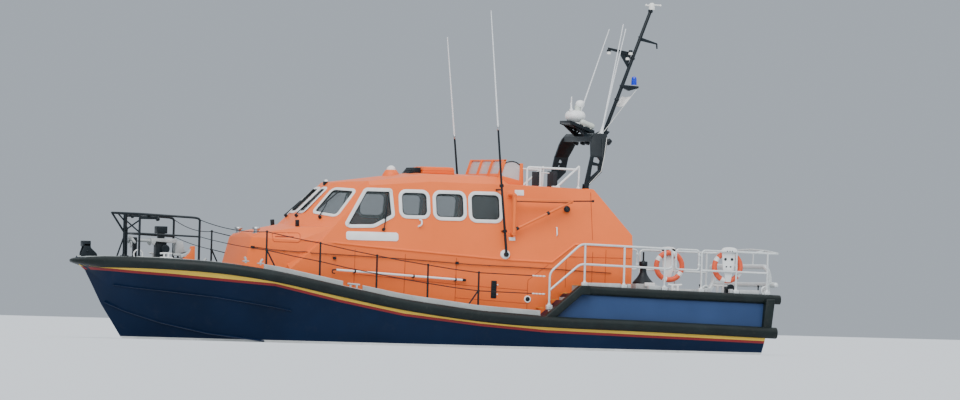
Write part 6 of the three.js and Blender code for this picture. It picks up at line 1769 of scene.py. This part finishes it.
for side, beam in SIDES:
    low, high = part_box(f"shaft_line_{side}")
    line = bmesh.new()
    tube(line, [on_shaft(beam, 0.076), on_shaft(beam, (high[0] - SCREW[0]) / math.cos(SHAFT_RISE))], 0.037,
         sides=20)
    lathe(line, [(0.040, 0), (0.070, 0), (0.078, 0.02), (0.079, 0.25), (0.066, 0.31), (0.040, 0.31)],
          on_shaft(beam, 0.11), SHAFT_WAY, 24)
    put(line, f"shaft_and_bearing_{side}", [steel], node=f"shaft_line_{side}", sharp=45)
    strut = bmesh.new()
    x, y, z = on_shaft(beam, 0.26)
    section = foil(0.10, 0.10, 0.022)
    loft(strut, [[(x + u, y + v, h) for u, v in section] for h in (z + 0.02, high[2] - 0.002)])
    put(strut, f"shaft_strut_{side}", [bottom_white], sharp=30)

# Propellers
# Five-bladed bronze propellers, cast and polished, with twisted blades and a coned nut; they
# turn outward on the shafts' ends.
# Blade rows: radius, chord, pitch in degrees, thickness
BLADE_ROWS = [(0.055, 0.10, 52, 0.020), (0.11, 0.17, 47, 0.017), (0.18, 0.215, 42, 0.014),
              (0.25, 0.228, 38, 0.011), (0.31, 0.190, 35, 0.008), (0.35, 0.115, 33, 0.006),
              (0.368, 0.03, 32, 0.004)]

bronze = finish("propeller_bronze", (0.52, 0.34, 0.15), 0.3, metal=1.0, mottle=0.15, patch=5.0, grime=0.15)
for side, beam in SIDES:
    screw = bmesh.new()
    lathe(screw, [(0, -0.158), (0.025, -0.153), (0.045, -0.135), (0.050, -0.115), (0.062, -0.11),
                  (0.070, -0.06), (0.074, 0.0), (0.072, 0.07), (0, 0.07)], on_shaft(beam, 0), SHAFT_WAY, 28)
    hub = Matrix.Translation((SCREW[0], beam * SCREW[1], SCREW[2])) @ Matrix.Rotation(-SHAFT_RISE, 4, "Y")
    for k in range(5):
        place = hub @ Matrix.Rotation(k * math.tau / 5 + 0.1, 4, "X")
        rings = []
        for radius, chord, pitch, thick in BLADE_ROWS:
            tilt = math.radians(pitch)
            ring = []
            for u, v in foil(chord / 2, chord / 2, thick, 8):
                ring.append(place @ Vector((v * math.cos(tilt) + u * math.sin(tilt) - 0.045,
                                            beam * (u * math.cos(tilt) - v * math.sin(tilt)), radius)))
            rings.append(ring)
        loft(screw, rings)
    put(screw, f"propeller_casting_{side}", [bronze], body=f"screw_{side}",
        node=f"propeller_{side}", sharp=50)

# Rudders
# A balanced spade rudder behind each propeller, moulded to a streamlined section and painted
# with the bottom; its steel stock turns in the roof of the tunnel.
RUDDER_X = -7.12

for side, beam in SIDES:
    blade = bmesh.new()
    y = beam * SCREW[1]
    rings = []
    for h, shrink in ((-1.338, 0.93), (-1.32, 0.985), (-1.29, 1.0), (-0.66, 1.0), (-0.645, 0.98)):
        rings.append([(RUDDER_X + u * shrink, y + v * shrink, h) for u, v in foil(0.129, 0.328, 0.068)])
    loft(blade, rings)
    put(blade, f"rudder_blade_{side}", [bottom_white], body=f"rudder_blade_{side}",
        node=f"rudder_{side}", sharp=40)
    stock = bmesh.new()
    tube(stock, [(RUDDER_X, y, -0.67), (RUDDER_X, y, -0.385)], 0.0385, sides=20)
    lathe(stock, [(0.038, 0), (0.062, 0), (0.066, 0.012), (0.055, 0.02), (0.038, 0.022)],
          (RUDDER_X, y, -0.646), steps=24)
    put(stock, f"rudder_stock_{side}", [steel], body=f"rudder_blade_{side}", sharp=45)
